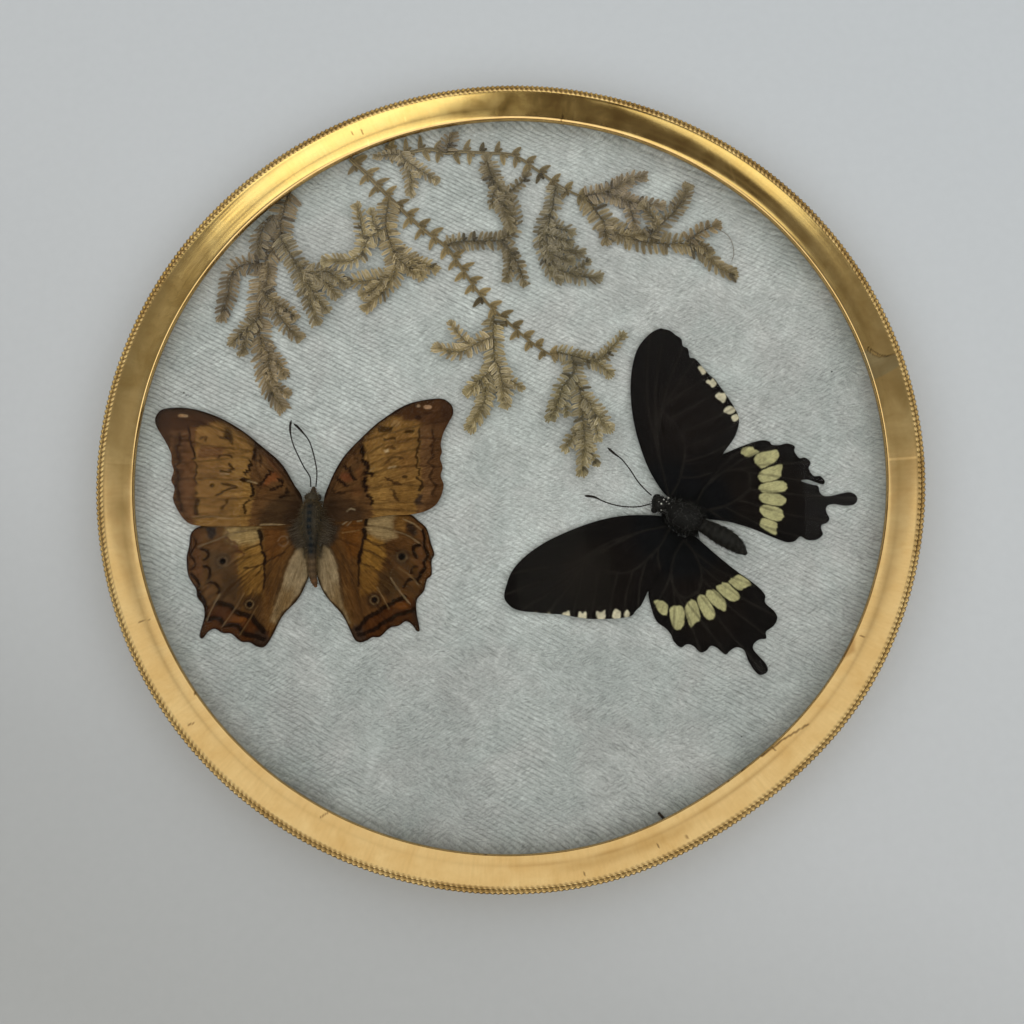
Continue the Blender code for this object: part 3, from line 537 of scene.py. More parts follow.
def rim_tint(degrees, r, z, knurl, ripple):
    """Tarnish, seam, scratches, worn spots and painted shade, as a multiplier on the metal's colour."""
    tint = np.ones((len(degrees), 3))
    flat = degrees * 0.0

    def shade(amount, colour):
        nonlocal tint
        amount = np.clip(amount, 0.0, 1.0)[:, None]
        tint = tint * (1.0 - amount) + tint * np.asarray(colour) * amount

    if knurl > 0.0:
        # Tarnish with painted shade in the hollows of the milling.
        shade((1.0 - ripple) * 0.9 * min(1.0, knurl * 1.3), (0.3, 0.26, 0.18))
        shade(flat + 0.5, (0.86, 0.9, 0.95))
        patches = ramp(cloudy(degrees / 7.0, flat + r * 0.3, 31), 0.4, 0.75)
        shade(patches * 0.5, (0.55, 0.47, 0.36))
        # Painted shade in the dip between the two rows of milling.
        if abs(r - 94.05) < 0.15:
            shade(flat + 0.6, (0.4, 0.32, 0.2))
    # Painted shade on the drum's side under the overhanging bead.
    if z < 8.2 and r > 91.0:
        shade(flat + 0.3, (0.7, 0.6, 0.45))
    # Painted shade on the inner wall of the lip.
    if r < 87.1:
        shade(flat + 0.5, (0.62, 0.53, 0.38))
    if z > 7.0 and 86.8 < r < 93.3:
        # Painted shade along a crease of the polished band near radius 89, stronger in the lower right.
        near = ramp(degrees, 262, 276) * (1 - ramp(degrees, 318, 334))
        wiggle = cloudy(degrees / 5.0, flat, 44)
        band_line_shade = math.exp(-((r - 89.1) / 0.4) ** 2)
        shade(band_line_shade * (0.06 + 0.3 * near * wiggle * 1.5), (0.5, 0.4, 0.26))
        # Painted shade on the stretch of the band that the dent tilts.
        dent_shade = ramp(degrees, 274, 281) * (1 - ramp(degrees, 290, 303))
        shade(dent_shade * math.exp(-((r - 90.3) / 1.1) ** 2) * 0.5, (0.6, 0.52, 0.38))
        for line, width in DARK_MARKS:
            shade(mark(degrees, r, path(line), width) * 0.85, (0.2, 0.15, 0.1))
        stain = 1 - ramp(np.abs(degrees - 330.5) / 1.6 + np.abs(r - 86.9) * 0.9, 0.8, 1.9)
        shade(stain * 0.65, (0.46, 0.33, 0.2))
        places = np.stack([degrees * SEAM_DEGREE_LENGTH, flat + r], -1)
        joint = signed(places, on_rim(SEAM, SEAM_DEGREE_LENGTH))
        shade((1 - ramp(joint, -0.15, 0.15)) * 0.8, (0.82, 0.93, 1.2))
        right = on_rim(SEAM[1:6], SEAM_DEGREE_LENGTH)
        shade((1 - ramp(to_line(places, right), 0.05, 0.22)) * 0.7, (0.35, 0.3, 0.22))
        for line, width in PALE_MARKS:
            shade(mark(degrees, r, path(line), width) * 0.8, (1.25, 1.28, 1.35))
    return tint


# Outline of a tab: distance to the side and from the axis.
TAB = path("-3,90.6 -3,85 -2.2,84.1 0,83.8 2.2,84.1 3,85 3,90.6")
TAB_COUNT, TAB_LOW, TAB_HIGH, TAB_DROOP = 8, 0.12, 0.48, 0.01


def make_tabs(metal):
    """The small tongues of the drum that are bent flat behind the cover."""
    verts, faces = [], []
    n = len(TAB)
    for index in range(TAB_COUNT):
        turn = math.radians(360.0 / TAB_COUNT * (index + 0.5))
        start = len(verts)
        for z, droop in ((TAB_LOW, TAB_DROOP), (TAB_HIGH, 0.0)):
            for side, out in TAB:
                verts.append((out * math.cos(turn) - side * math.sin(turn),
                              out * math.sin(turn) + side * math.cos(turn), z - droop * abs(side)))
        faces.append([start + k for k in range(n)][::-1])
        faces.append([start + n + k for k in range(n)])
        faces += quads(start, start + n, n)
    tabs = solid_mesh("rear_tabs", verts, faces, [metal], np.full((len(verts), 3), 0.75), False)
    bevel = tabs.modifiers.new("Soften", "BEVEL")
    bevel.width = 0.08 * MM
    bevel.segments = 2
    bevel.angle_limit = math.radians(50)
    bevel.limit_method = "ANGLE"
    return tabs


# ---------------------------------------------------------------- glass, velvet, back

def clear_glass():
    shades = Shades("clear_glass", roughness=0.0, specular=0.5)
    shades.surface(Transmission_Weight=1.0, IOR=1.5, Specular_Tint=(0.03, 0.03, 0.03, 1.0),
                  Base_Color=(0.985, 1.0, 0.992, 1.0))
    return shades.material


def glass_lift(radius):
    """Height of the dome's curve over its edge at a radius."""
    return np.sqrt(GLASS_BALL_R**2 - radius**2) - (GLASS_BALL_R - GLASS_RISE)


def make_glass():
    radii = np.linspace(0.0, PANE_R, 25)[1:]
    phi = circle(DISC_SIDES)
    bottoms = (GLASS_EDGE_BOTTOM + GLASS_THICK, GLASS_EDGE_BOTTOM)
    verts = [(0.0, 0.0, base + GLASS_RISE) for base in bottoms]
    for base in bottoms:
        for r, up in zip(radii, glass_lift(radii)):
            verts += [(r * math.cos(p), r * math.sin(p), base + up) for p in phi]
    faces = []
    rings = len(radii)
    top, low = 2, 2 + rings * DISC_SIDES
    for k in range(DISC_SIDES):
        m = (k + 1) % DISC_SIDES
        faces.append((0, top + k, top + m))
        faces.append((1, low + m, low + k))
        for j in range(rings - 1):
            a, b = top + j * DISC_SIDES, top + (j + 1) * DISC_SIDES
            faces.append((a + k, b + k, b + m, a + m))
            a, b = low + j * DISC_SIDES, low + (j + 1) * DISC_SIDES
            faces.append((a + m, b + m, b + k, a + k))
        a, b = top + (rings - 1) * DISC_SIDES, low + (rings - 1) * DISC_SIDES
        faces.append((a + k, b + k, b + m, a + m))
    glass = solid_mesh("domed_glass", verts, faces, [clear_glass()])
    glass.visible_shadow = False
    glass.visible_diffuse = False
    return glass


def velvet_cloth():
    """Short nap that lies in changing directions, over faint diagonal ribs, with painted sheen and
    highlights.
    """
    shades = Shades("pale_velvet", roughness=0.95, specular=0.1)
    place = shades.place()
    part = shades.split(place)

    def lying(turn, along, across, scale):
        return shades.noise(shades.place((along, across, 1.0), turn), scale, 3.0, 0.65, 0.5)

    def where(scale, detail, roughness, distortion, low, high, *to):
        return shades.grey(shades.noise(place, scale, detail, roughness, distortion), low, high, *to)

    # The nap's light and dark streaks: texture of the pile, with painted sheen in them.
    nap = shades.mix("MIX", where(0.07, 3.0, 0.55, 1.2, 0.44, 0.56), lying(28.0, 0.6, 2.7, 1.0),
                     lying(-30.0, 0.65, 2.5, 1.0))
    nap = shades.mix("MIX", where(0.13, 2.0, 0.5, 1.0, 0.5, 0.62), nap, lying(6.0, 0.7, 2.4, 1.1))
    fine = shades.noise(place, 3.1, 3.0, 0.75, 0.3)
    patch = shades.noise(place, 0.035, 4.0, 0.6, 0.6)
    warm = shades.noise(shades.place(turn=70.0), 0.05, 3.0, 0.55, 0.5)
    glint = shades.noise(place, 0.16, 3.0, 0.6, 0.8)
    wave = shades.node("TexWave", shades.place(turn=-27.0), wave_type="BANDS", bands_direction="Y")
    shades.set(wave, Scale=0.3, Distortion=1.6, Detail=2.0, Detail_Scale=0.6, Detail_Roughness=0.6)
    ribs = wave.outputs["Fac"]
    slope = shades.split(shades.place((-0.9, 1.0, 1.0)))
    ribbed = shades.add(shades.grey(shades.add(slope["X"], slope["Y"]), -40.0, 90.0, 0.0, 0.4),
                        where(0.03, 2.0, 0.5, 0.8, 0.42, 0.58, 0.2, 0.6))

    base = shades.ramp(patch, (0.34, linear((177, 182, 179))), (0.66, linear((193, 197, 194))))
    base = shades.times(base, warm, (0.42, (0.992, 1.008, 1.0)), (0.62, (1.018, 0.99, 0.985)), share=0.8)
    base = shades.times(base, nap, (0.32, (0.64, 0.64, 0.63)), (0.5, 0.98), (0.68, 1.3), share=0.9)
    base = shades.times(base, ribs, (0.05, (0.7, 0.7, 0.69)), (0.45, 1.05), share=ribbed)
    base = shades.times(base, fine, (0.3, 0.6), (0.68, 1.34), share=0.5)
    # Painted highlights scattered over the nap.
    base = shades.times(base, glint, (0.42, 0.94), (0.68, 1.16), share=0.8)
    # Light and shade over the whole cloth: up, from the middle out, left, right and near the lip.
    base = shades.times(base, shades.grey(part["Y"], -80.0, 80.0), (0.0, (0.885, 0.888, 0.895)),
                        (0.5, (1.025, 1.025, 1.035)), (1.0, (1.12, 1.12, 1.13)))
    base = shades.times(base, shades.grey(shades.length(place, (-2.0, 14.0, 0.0)), 0.0, 90.0),
                        (0.0, (0.965, 0.965, 0.955)), (0.4, 1.015), (0.8, 0.975), (1.0, 0.95))
    base = shades.times(base, shades.grey(part["X"], -80.0, 0.0), (0.0, 1.03), (0.35, 0.94), (1.0, 1.0))
    base = shades.times(base, shades.grey(part["X"], 30.0, 88.0), (0.0, 1.0), (1.0, 0.92))
    base = shades.times(base, shades.grey(shades.length(place), 30.0, 89.0), (0.0, 1.04),
                        (0.8, (0.99, 0.99, 0.985)), (0.96, (0.88, 0.88, 0.87)), (1.0, (0.75, 0.75, 0.73)))
    shades.surface(Base_Color=base, Sheen_Weight=0.2, Sheen_Roughness=0.5)
    shades.bump(shades.total((nap, 1.0), (fine, 0.5), (ribs, 0.3)), 0.6, 0.25)
    return shades.material


def disc_piece(name, low, high, material, rings=3, wavy=0.0):
    """A flat disc under the glass with a softened edge. It can be slightly wavy on top."""
    inner = PANE_R - 0.3
    keys = [(PANE_R - 0.25, low), (PANE_R, low + 0.15), (PANE_R, high - 0.2), (PANE_R - 0.12, high - 0.06)]
    keys += [(inner * (1.0 - k / (rings + 1)), high) for k in range(rings + 1)]
    verts = []
    for p in circle(DISC_SIDES):
        for r, z in keys:
            x, y = r * math.cos(p), r * math.sin(p)
            lift = 0.0
            if wavy and z == high and r < PANE_R - 1:
                lift = wavy * (float(value_noise(np.array([x / 14]), np.array([y / 14]), 3)[0]) - 1.0)
            verts.append((x, y, z + lift))
    across = len(keys)
    faces = ring_faces(DISC_SIDES, across, closed=False)
    centre = len(verts)
    verts.append((0.0, 0.0, high))
    starts = [k * across for k in range(DISC_SIDES)]
    for a, b in zip(starts, starts[1:] + starts[:1]):
        faces.append((a + across - 1, b + across - 1, centre))
    faces.append(starts[::-1])
    return solid_mesh(name, verts, faces, [material])


def board(name, dark, pale, fibre):
    """Grained card or board."""
    shades = Shades(name, roughness=0.85, specular=0.2)
    cloud = shades.noise(shades.place(), 0.12, 5.0, 0.65)
    grain = shades.noise(shades.place((0.5, 3.0, 1.0), 20.0), fibre, 4.0, 0.7)
    base = shades.ramp(cloud, (0.3, linear(dark)), (0.7, linear(pale)))
    shades.surface(Base_Color=shades.times(base, grain, (0.3, (0.7, 0.68, 0.64)), (0.7, (1.15, 1.12, 1.08)),
                                          share=0.5))
    shades.bump(grain, 0.25, 0.12)
    return shades.material


# ---------------------------------------------------------------- wings

def outline_of(node):
    """A plate's outline seen from above, anticlockwise, in millimetres."""
    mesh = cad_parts[node].data
    places = np.array([v.co for v in mesh.vertices]) / MM
    top = places[:, 2] > places[:, 2].max() - 0.02
    edges = {}
    for polygon in mesh.polygons:
        corners = list(polygon.vertices)
        if all(top[c] for c in corners):
            keys = [tuple(np.round(places[c, :2], 3)) for c in corners]
            edges.update(dict.fromkeys(zip(keys, keys[1:] + keys[:1])))
    # Edges that no neighbour runs the other way are the outline's.
    after = {a: b for a, b in edges if (b, a) not in edges}
    start = next(iter(after))
    loop = [start]
    while after[loop[-1]] != start:
        loop.append(after[loop[-1]])
    loop = np.array(loop)
    x, y = loop.T
    area = np.sum(x * np.roll(y, -1) - np.roll(x, -1) * y)
    return loop if area > 0 else loop[::-1]


def filled(outline, spacing, seed):
    """Triangles inside an outline, with where each of its own points went."""
    rng = np.random.default_rng(seed)
    low, high = outline.min(0), outline.max(0)
    xs = np.arange(low[0], high[0], spacing)
    ys = np.arange(low[1], high[1], spacing * 0.866)
    grid = np.array([(x + spacing * 0.5 * (j % 2), y) for j, y in enumerate(ys) for x in xs])
    grid += rng.uniform(-0.15, 0.15, grid.shape) * spacing
    grid = grid[signed(grid, outline) < -0.55 * spacing]
    n = len(outline)
    edges = [(i, (i + 1) % n) for i in range(n)]
    points = [Vector(p) for p in np.vstack([outline, grid])]
    made, _, faces, origin, _, _ = delaunay_2d_cdt(points, edges, [], 1, 1e-7)
    where = {k: j for j, source in enumerate(origin) for k in source}
    return np.array([tuple(p) for p in made]), faces, [where[i] for i in range(n)]


# A layer of paint has a kind, a shape, a colour, a size and how strongly it covers, in full if not said.
# The size is the softness of an area's edge, half the width of a line or crease, the width of a margin,
# the radii of a spot, the radius and half width of a ring, or the degrees and pitch of a hatch.

def cover_of(kind, shape, size, points, moved, edge_distance, seed):
    """How much of each point a layer covers. Moved points give areas and lines their ragged edges."""
    x, y = points.T
    if kind == "area":
        return 1.0 - ramp(signed(moved, shape), -size, size)
    if kind == "line":
        return 1.0 - ramp(to_line(moved, smooth_curve(shape, 0.6)), size * 0.4, size * 1.05)
    if kind == "crease":
        return 1.0 - ramp(to_line(points, smooth_curve(shape, 0.6)), size * 0.25, size)
    if kind == "ring":
        reach = np.hypot(x - shape[0], y - shape[1])
        return 1.0 - ramp(np.abs(reach - size[0]), 0.04, size[1])
    if kind == "margin":
        uneven = size * (0.5 + value_noise(x * 0.7, y * 0.7, seed + 3))
        return 1.0 - ramp(edge_distance, uneven * 0.4, uneven * 1.3)
    if kind == "hatch":
        turn, pitch = math.radians(size[0]), size[1]
        along = x * math.cos(turn) + y * math.sin(turn)
        across = -x * math.sin(turn) + y * math.cos(turn)
        streaks = value_noise(along * 0.22, across / pitch, seed + int(abs(size[0])))
        return ramp(streaks, 0.45, 0.85) * (1.0 - ramp(signed(moved, shape), -1.5, 0.3))
    return 1.0 - ramp(np.hypot((x - shape[0]) / size[0], (y - shape[1]) / size[1]), 0.75, 1.2)


def paint(points, base, layers, seed, edge_distance, away, waver, teeth):
    """Colours from layers with soft, slightly uneven edges, in linear light."""
    x, y = points.T
    moved = points + np.stack([cloudy(x * 1.3, y * 1.3, seed) - 0.5,
                               cloudy(x * 1.3, y * 1.3, seed + 5) - 0.5], -1) * 2 * waver
    turn, reach, outward = away
    ragged = value_noise(turn * 44.0, reach * 0.24, seed + 21) - 0.5
    ragged += (value_noise(turn * 19.0, reach * 0.12, seed + 22) - 0.5) * 0.6
    moved = moved + outward * (ragged * teeth)[:, None]
    colours = np.tile(linear(base), (len(points), 1))
    for kind, shape, colour, size, *strength in layers:
        shape = path(shape) if isinstance(shape, str) else shape
        amount = cover_of(kind, shape, size, points, moved, edge_distance, seed)[:, None]
        amount = amount * (strength[0] if strength else 1.0)
        colours = colours * (1.0 - amount) + linear(colour) * amount
    return colours


def wing_material(name, roughness, specular, speckle, streaks):
    """Scales: dust, rows across the wing and streaks that run out from its root."""
    shades = Shades(name, roughness=roughness, specular=specular)
    flow = shades.attribute("flow", "Vector")
    fine = shades.noise(flow, 2.4, 3.0, 0.7)
    broad = shades.noise(flow, 0.9, 2.0, 0.6)
    dust = shades.noise(shades.place(), 5.2, 2.0, 0.75)
    rows = shades.noise(shades.place(turn=20.0), 1.6, 4.0, 0.7)
    base = shades.times(shades.attribute("tint", "Color"), dust, (0.3, 1.0 - speckle), (0.7, 1.0 + speckle))
    base = shades.times(base, rows, (0.3, (0.86, 0.85, 0.83)), (0.7, (1.12, 1.1, 1.08)), share=0.6)
    base = shades.times(base, fine, (0.32, (0.6, 0.54, 0.46)), (0.5, 1.0), (0.7, (1.4, 1.42, 1.42)),
                        share=streaks)
    base = shades.times(base, broad, (0.34, (0.74, 0.69, 0.62)), (0.66, (1.2, 1.22, 1.22)),
                        share=streaks * 0.7)
    shades.surface(Base_Color=base)
    shades.bump(shades.total((shades.attribute("relief", "Fac"), 1.0), (dust, 0.12), (broad, 0.5)), 0.8, 0.22)
    return shades.material


def vein_lines(root, cell, margins, bow=0.06):
    """The cell's outline and the veins that fan from it to the margin."""
    middle = len(cell) // 2
    lines = [smooth_curve([root] + cell[:middle + 1], 0.7),
             smooth_curve([root] + cell[middle:][::-1], 0.7), np.array(cell)]
    edge = smooth_curve(cell, 0.4)
    for k, end in enumerate(margins):
        share = k / max(1, len(margins) - 1)
        start = edge[int(round(share * (len(edge) - 1)))]
        end = np.array(end, float)
        across = np.array([-(end - start)[1], (end - start)[0]]) * bow * (0.5 - share) * 2
        lines.append(smooth_curve([start, (start + end) / 2 + across, end], 0.8))
    return lines


WING_GAP, WING_THICK = 0.1, 0.1
TOP_SPACING, UNDER_SPACING = 0.22, 1.1


def make_wing(name, data, material, slot, seed):
    """A thin rippled wing in the outline of its node, painted on top."""
    outline = smooth_curve(outline_of(name), 0.34, closed=True)
    top, top_faces, top_loop = filled(outline, TOP_SPACING, seed)
    under, under_faces, under_loop = filled(outline, UNDER_SPACING, seed + 1)
    low = data["low"] + WING_GAP

    def ripple(points):
        x, y = points.T
        return (cloudy(x / 6.5, y / 6.5, seed) - 0.5) * 0.22

    n = len(top)
    verts = np.vstack([np.column_stack([top, low + WING_THICK + ripple(top)]),
                       np.column_stack([under, low + ripple(under)])])
    # Turn and distance from the root, the way the scales and veins run.
    offset = verts[:, :2] - np.array(data["root"])
    middle = outline.mean(0) - np.array(data["root"])
    reach = np.hypot(*offset.T)
    turn = np.arctan2(middle[0] * offset[:, 1] - middle[1] * offset[:, 0], offset @ middle)
    outward = offset / np.maximum(reach, 0.5)[:, None]
    faces = [tuple(f) for f in top_faces]
    faces += [tuple(n + i for i in f[::-1]) for f in under_faces]
    for i in range(len(outline)):
        j = (i + 1) % len(outline)
        faces.append((n + under_loop[i], n + under_loop[j], top_loop[j], top_loop[i]))
    colours = np.vstack([
        paint(top, data["base"], data["layers"], seed, -signed(top, outline),
              (turn[:n], reach[:n], outward[:n]), *data["edges"]),
        np.tile(linear(data["under"]), (len(under), 1)),
    ])
    x, y = top.T
    nearest = np.min([to_line(top, smooth_curve(line, 0.7)) for line in data["veins"]], axis=0)
    vein = 1.0 - ramp(nearest, 0.1, 0.42)
    relief = np.zeros(len(verts))
    relief[:n] = vein * 0.5 - (1.0 - ramp(nearest, 0.3, 1.3)) * 0.3
    fade = 0.5 + 0.5 * value_noise(x * 0.5, y * 0.5, seed + 4)
    amount = (vein * fade * data["vein_share"])[:, None]
    colours[:n] = blend(colours[:n], linear(data["vein_colour"]), amount)
    for crease in data["creases"]:
        relief[:n] += (1.0 - ramp(to_line(top, smooth_curve(crease, 0.7)), 0.05, 0.4)) * 0.3
    cloud = cloudy(x * 0.55, y * 0.55, seed + 7)[:, None]
    grain = value_noise(x * 2.4, y * 2.4, seed + 9)[:, None]
    colours[:n] *= 1.0 + (cloud - 0.5) * data["mottle"] + (grain - 0.5) * data["mottle"] * 0.7
    wing = solid_mesh(name + "_scales", verts, faces, [material], np.clip(colours, 0.0, 1.0))
    wing.data.set_sharp_from_angle(angle=math.radians(55))
    flow = np.column_stack([turn * 30.0, reach * 0.16, np.zeros(len(verts))])
    add_field(wing.data, "flow", "FLOAT_VECTOR", "vector", flow)
    add_field(wing.data, "relief", "FLOAT", "value", relief)
    return finish_piece(wing, slot, name)


# Colours of the brown butterfly.
OCHRE, OCHRE_BRIGHT, TAN = (124, 92, 49), (134, 101, 54), (111, 81, 46)
BROWN, ROOT, RED_BROWN, COCOA = (86, 60, 35), (52, 38, 26), (94, 64, 41), (66, 43, 27)
LINE, SEPIA, EDGE, RUST = (24, 16, 11), (38, 25, 16), (33, 22, 15), (66, 38, 18)
CREAM, FOLD, OLIVE, PALE = (142, 119, 78), (138, 120, 92), (58, 41, 21), (150, 128, 94)

# Its veins, the layers of its markings from the ground up, and the creases of its hindwings.
LEFT_FOREWING_VEINS = [
    "-59.3,3.5 -64,4.2 -70,4.9 -75,6.2 -79.5,7.6",
    "-59.8,1.7 -63,2.2 -67.5,1.6 -72.5,1.2 -78.6,0.6",
    "-60.5,-3.2 -65,-3.3 -70,-2.9 -78.4,-3.1",
    "-48.6,-8.8 -54,-8.3 -59.2,-7.8 -65,-8.1 -70,-7.6 -77.8,-7.8",
    "-48.6,-10.6 -55,-11.4 -60.8,-11.9 -65,-12.1 -70,-12 -75,-12.6",
    "-49,-6.6 -54,0 -60,5 -64,7 -70,9.8 -76,11.2 -82,11.6",
    "-58.6,-7.6 -57.2,-4.5 -58.6,-0.6 -59.6,3.6",
    "-49.4,-7.2 -53.5,-6.8 -58.6,-7.6",
]
LEFT_FOREWING = [
    ("area", "-59,6 -60.2,-1.3 -60.3,-3.4 -58.9,-5 -59,-8 -60.2,-14.5 -47,-15 -46,-6 -52,2", BROWN, 0.5),
    ("area", "-64.6,3 -60.4,3 -60.6,-2 -59.4,-5 -59.8,-8 -61,-13 -64,-13 "
             "-64.6,-4", OCHRE_BRIGHT, 0.8, 0.9),
    ("area", "-74,8 -70.6,8.4 -70.6,5.6 -74.6,5.6", (120, 88, 48), 0.6, 0.8),
    ("area", "-69.8,9.8 -67,9 -67,6.8 -69.6,7", (118, 88, 50), 0.6, 0.7),
    ("area", "-72.4,5 -66.4,4.6 -66.6,2.4 -72.6,1.8", RED_BROWN, 0.6, 0.8),
    ("area", "-71.5,0.5 -67,0.8 -66.6,-2.4 -71.8,-2.6", TAN, 0.6, 0.6),
    ("area", "-72.6,13 -73.6,5 -72.7,-3 -72.4,-14.5 -80,-14 -80,-1 -82,7 -84,14", (92, 62, 36), 0.5),
    ("area", "-75,13 -75.6,4 -75.9,-4 -75.4,-9 -74,-13.4 -80,-14 -80,-1 -82,7 -84,14", (72, 48, 30), 0.7),
    ("hatch", "-73,13 -73,-13 -80,-13 -84,13", (112, 80, 52), (4.0, 0.5), 0.5),
    ("area", "-66,12.6 -69.5,10.4 -75,9 -79.4,9 -82,6.5 -85,15 -75,16", COCOA, 0.9),
    ("area", "-79,15 -80,10 -78.6,6 -77.8,0 -77.4,-6 -76.4,-11 -81,-10 -84,6 "
             "-84,15", (56, 37, 24), 0.7, 0.6),
    ("area", "-48,-14.8 -47,-6 -51.4,-6 -55.5,-8.6 -57.5,-12 -58,-15", (64, 47, 30), 1.0),
    ("area", "-47,-15 -47,-7 -49.6,-8 -52,-11.5 -52,-15", ROOT, 1.2),
    ("area", "-57.2,3.5 -55.6,4.4 -50.6,-2 -51.6,-3 -56,1", (92, 60, 38), 0.6, 0.9),
    ("area", "-55.8,-2.2 -53.8,-1.4 -52.8,-2.8 -55.2,-4.4 -57,-5", (112, 66, 36), 0.5, 0.9),
    ("spot", (-57.6, 0.6), (98, 70, 42), (1.5, 1.9), 0.85),
    ("spot", (-57.0, -6.2), (92, 63, 36), (1.3, 1.1), 0.8),
    ("line", "-58.9,5.2 -59,3.4 -59.3,1.9", LINE, 0.62, 0.9),
    ("line", "-59.3,1.9 -58.2,1.2 -57.6,1.6", LINE, 0.4, 0.7),
    ("line", "-59.9,0.9 -60.3,-0.6 -61,-1.8", LINE, 0.66, 0.95),
    ("line", "-62,-3.2 -61,-3.3 -60.2,-3.6", LINE, 0.66, 0.95),
    ("line", "-59.6,-4.4 -59.3,-5.6 -59.6,-7.2", LINE, 0.66, 0.95),
    ("line", "-59.9,-8.2 -60.9,-9.2 -60.9,-11.2", LINE, 0.45, 0.85),
    ("line", "-58.2,3.2 -57.5,2 -57.7,0.2", SEPIA, 0.4, 0.6),
    ("line", "-55.4,-1.6 -56.4,-3.2 -57.6,-4.7", LINE, 0.5, 0.9),
    ("line", "-54.6,-1.6 -55.6,-1.4", LINE, 0.4, 0.8),
    ("line", "-53.2,-3.3 -52.2,-3.9 -53.1,-5.2 -55,-5.7", LINE, 0.45, 0.9),
    ("line", "-51.4,-5.2 -51.1,-6.8 -52.8,-7.6", LINE, 0.42, 0.85),
    ("line", "-75,9.6 -74.8,7.6 -74.6,5.4 -73.6,3.6 -73.1,1.6", LINE, 0.42, 0.85),
    ("line", "-73,1 -72.6,-0.6 -73,-2.4 -72.7,-4", LINE, 0.36, 0.75),
    ("spot", (-72.5, -6.4), LINE, (0.5, 0.5), 0.7),
    ("line", "-72.4,-8.2 -72.2,-9.6 -72.6,-11.4", LINE, 0.8, 0.8),
    ("line", "-77.2,8 -77.7,5 -76.9,2.4 -77.6,0 -76.9,-2.4 -77.3,-5 -76.5,-7.4 "
             "-76,-10.6", LINE, 0.5, 0.7),
    ("line", "-79.2,7 -78.8,4.4 -79,1.6 -78.2,-1 -78.4,-4 -77.6,-7", (104, 74, 48), 0.4, 0.55),
    ("area", "-66.6,9.4 -65.2,8.9 -64.6,6.4 -65.6,6.2 -66.6,7.4", LINE, 0.4, 0.75),
    ("line", "-67.6,7 -65.8,6.8 -64.8,5.6", SEPIA, 0.45, 0.7),
    ("line", "-67.8,2.3 -66,2.7 -64.8,2.5", SEPIA, 0.4, 0.75),
    ("line", "-65.2,0.5 -64.1,-0.5 -65.3,-1.3 -66.8,-1.2", SEPIA, 0.42, 0.8),
    ("line", "-66.4,-4.2 -65,-4.4 -63.6,-4.9 -65.4,-5.6 -67.8,-6.9", SEPIA, 0.42, 0.8),
    ("spot", (-68.9, -4.6), LINE, (0.6, 0.5), 0.75),
    ("line", "-65.3,-8.2 -65.5,-9.2 -66.4,-10.2", SEPIA, 0.5, 0.7),
    ("line", "-72,6.6 -71,7.2 -70.8,6.2", SEPIA, 0.4, 0.65),
    ("spot", (-73.4, 9.9), SEPIA, (0.9, 0.4), 0.6),
    ("hatch", "-73,8 -59.6,5 -59.6,-14 -73,-13", (70, 46, 26), (3.0, 0.55), 0.4),
    ("hatch", "-59,4 -50,-3 -48,-14 -59,-14", (50, 35, 23), (-28.0, 0.6), 0.4),
    ("line", "-47.6,-7.6 -49.4,-4.7 -52.8,0.6 -57.6,4.8 -62.5,8.7 -67.4,11.6 -71.1,13.1 -75.4,14.2 "
             "-79,14.4", (58, 42, 29), 1.9, 0.7),
    ("line", "-47.6,-7.6 -49.4,-4.7 -52.8,0.6 -57.6,4.8 -62.5,8.7 -67.4,11.6 -71.1,13.1 -75.4,14.2 "
             "-79,14.4 -82.1,13.8 -83.3,12 -83,10", EDGE, 0.75, 0.95),
    ("spot", (-77, 12.4), (156, 124, 88), (1.0, 0.42)),
    ("spot", (-76, 12.3), (176, 146, 108), (0.5, 0.35), 0.8),
    ("crease", "-67,-1.8 -65.2,-1.9", (140, 120, 86), 0.32, 0.7),
    ("crease", "-58.4,-4.1 -60.6,-3.5", PALE, 0.26, 0.7),
    ("crease", "-73,-12.1 -70,-11.9 -64,-12.6", PALE, 0.26, 0.45),
    ("crease", "-57,-14 -54.6,-13.9 -51.4,-14.1", PALE, 0.3, 0.6),
]
RIGHT_FOREWING_VEINS = [
    "-41,-6.6 -37.4,1 -33.6,5.6 -30,6.9 -25,8.3 -20,9.6 -14,10.6",
    "-33,2.4 -29,4.8 -25,5.8 -20.5,6.4 -15.2,6.2",
    "-31.8,0.2 -28,1.8 -25,2.9 -20.5,3.8 -15.4,3.4",
    "-31.6,-2.2 -28,-1 -24,-0.4 -20,-0.3 -15.4,-0.6",
    "-32.6,-5.6 -29,-5.2 -25,-4.7 -20,-5 -15,-4.8",
    "-42,-8.8 -36.5,-8.4 -31,-9.3 -27,-8.8 -23,-8.8 -17,-9.4",
    "-41.6,-10 -35,-10.9 -30,-10.6 -25,-10.8 -20.5,-11",
    "-33.8,5.2 -32.4,1.2 -34,-3.6 -32.6,-5.8",
    "-41,-7 -37,-6.2 -32.6,-5.8",
]
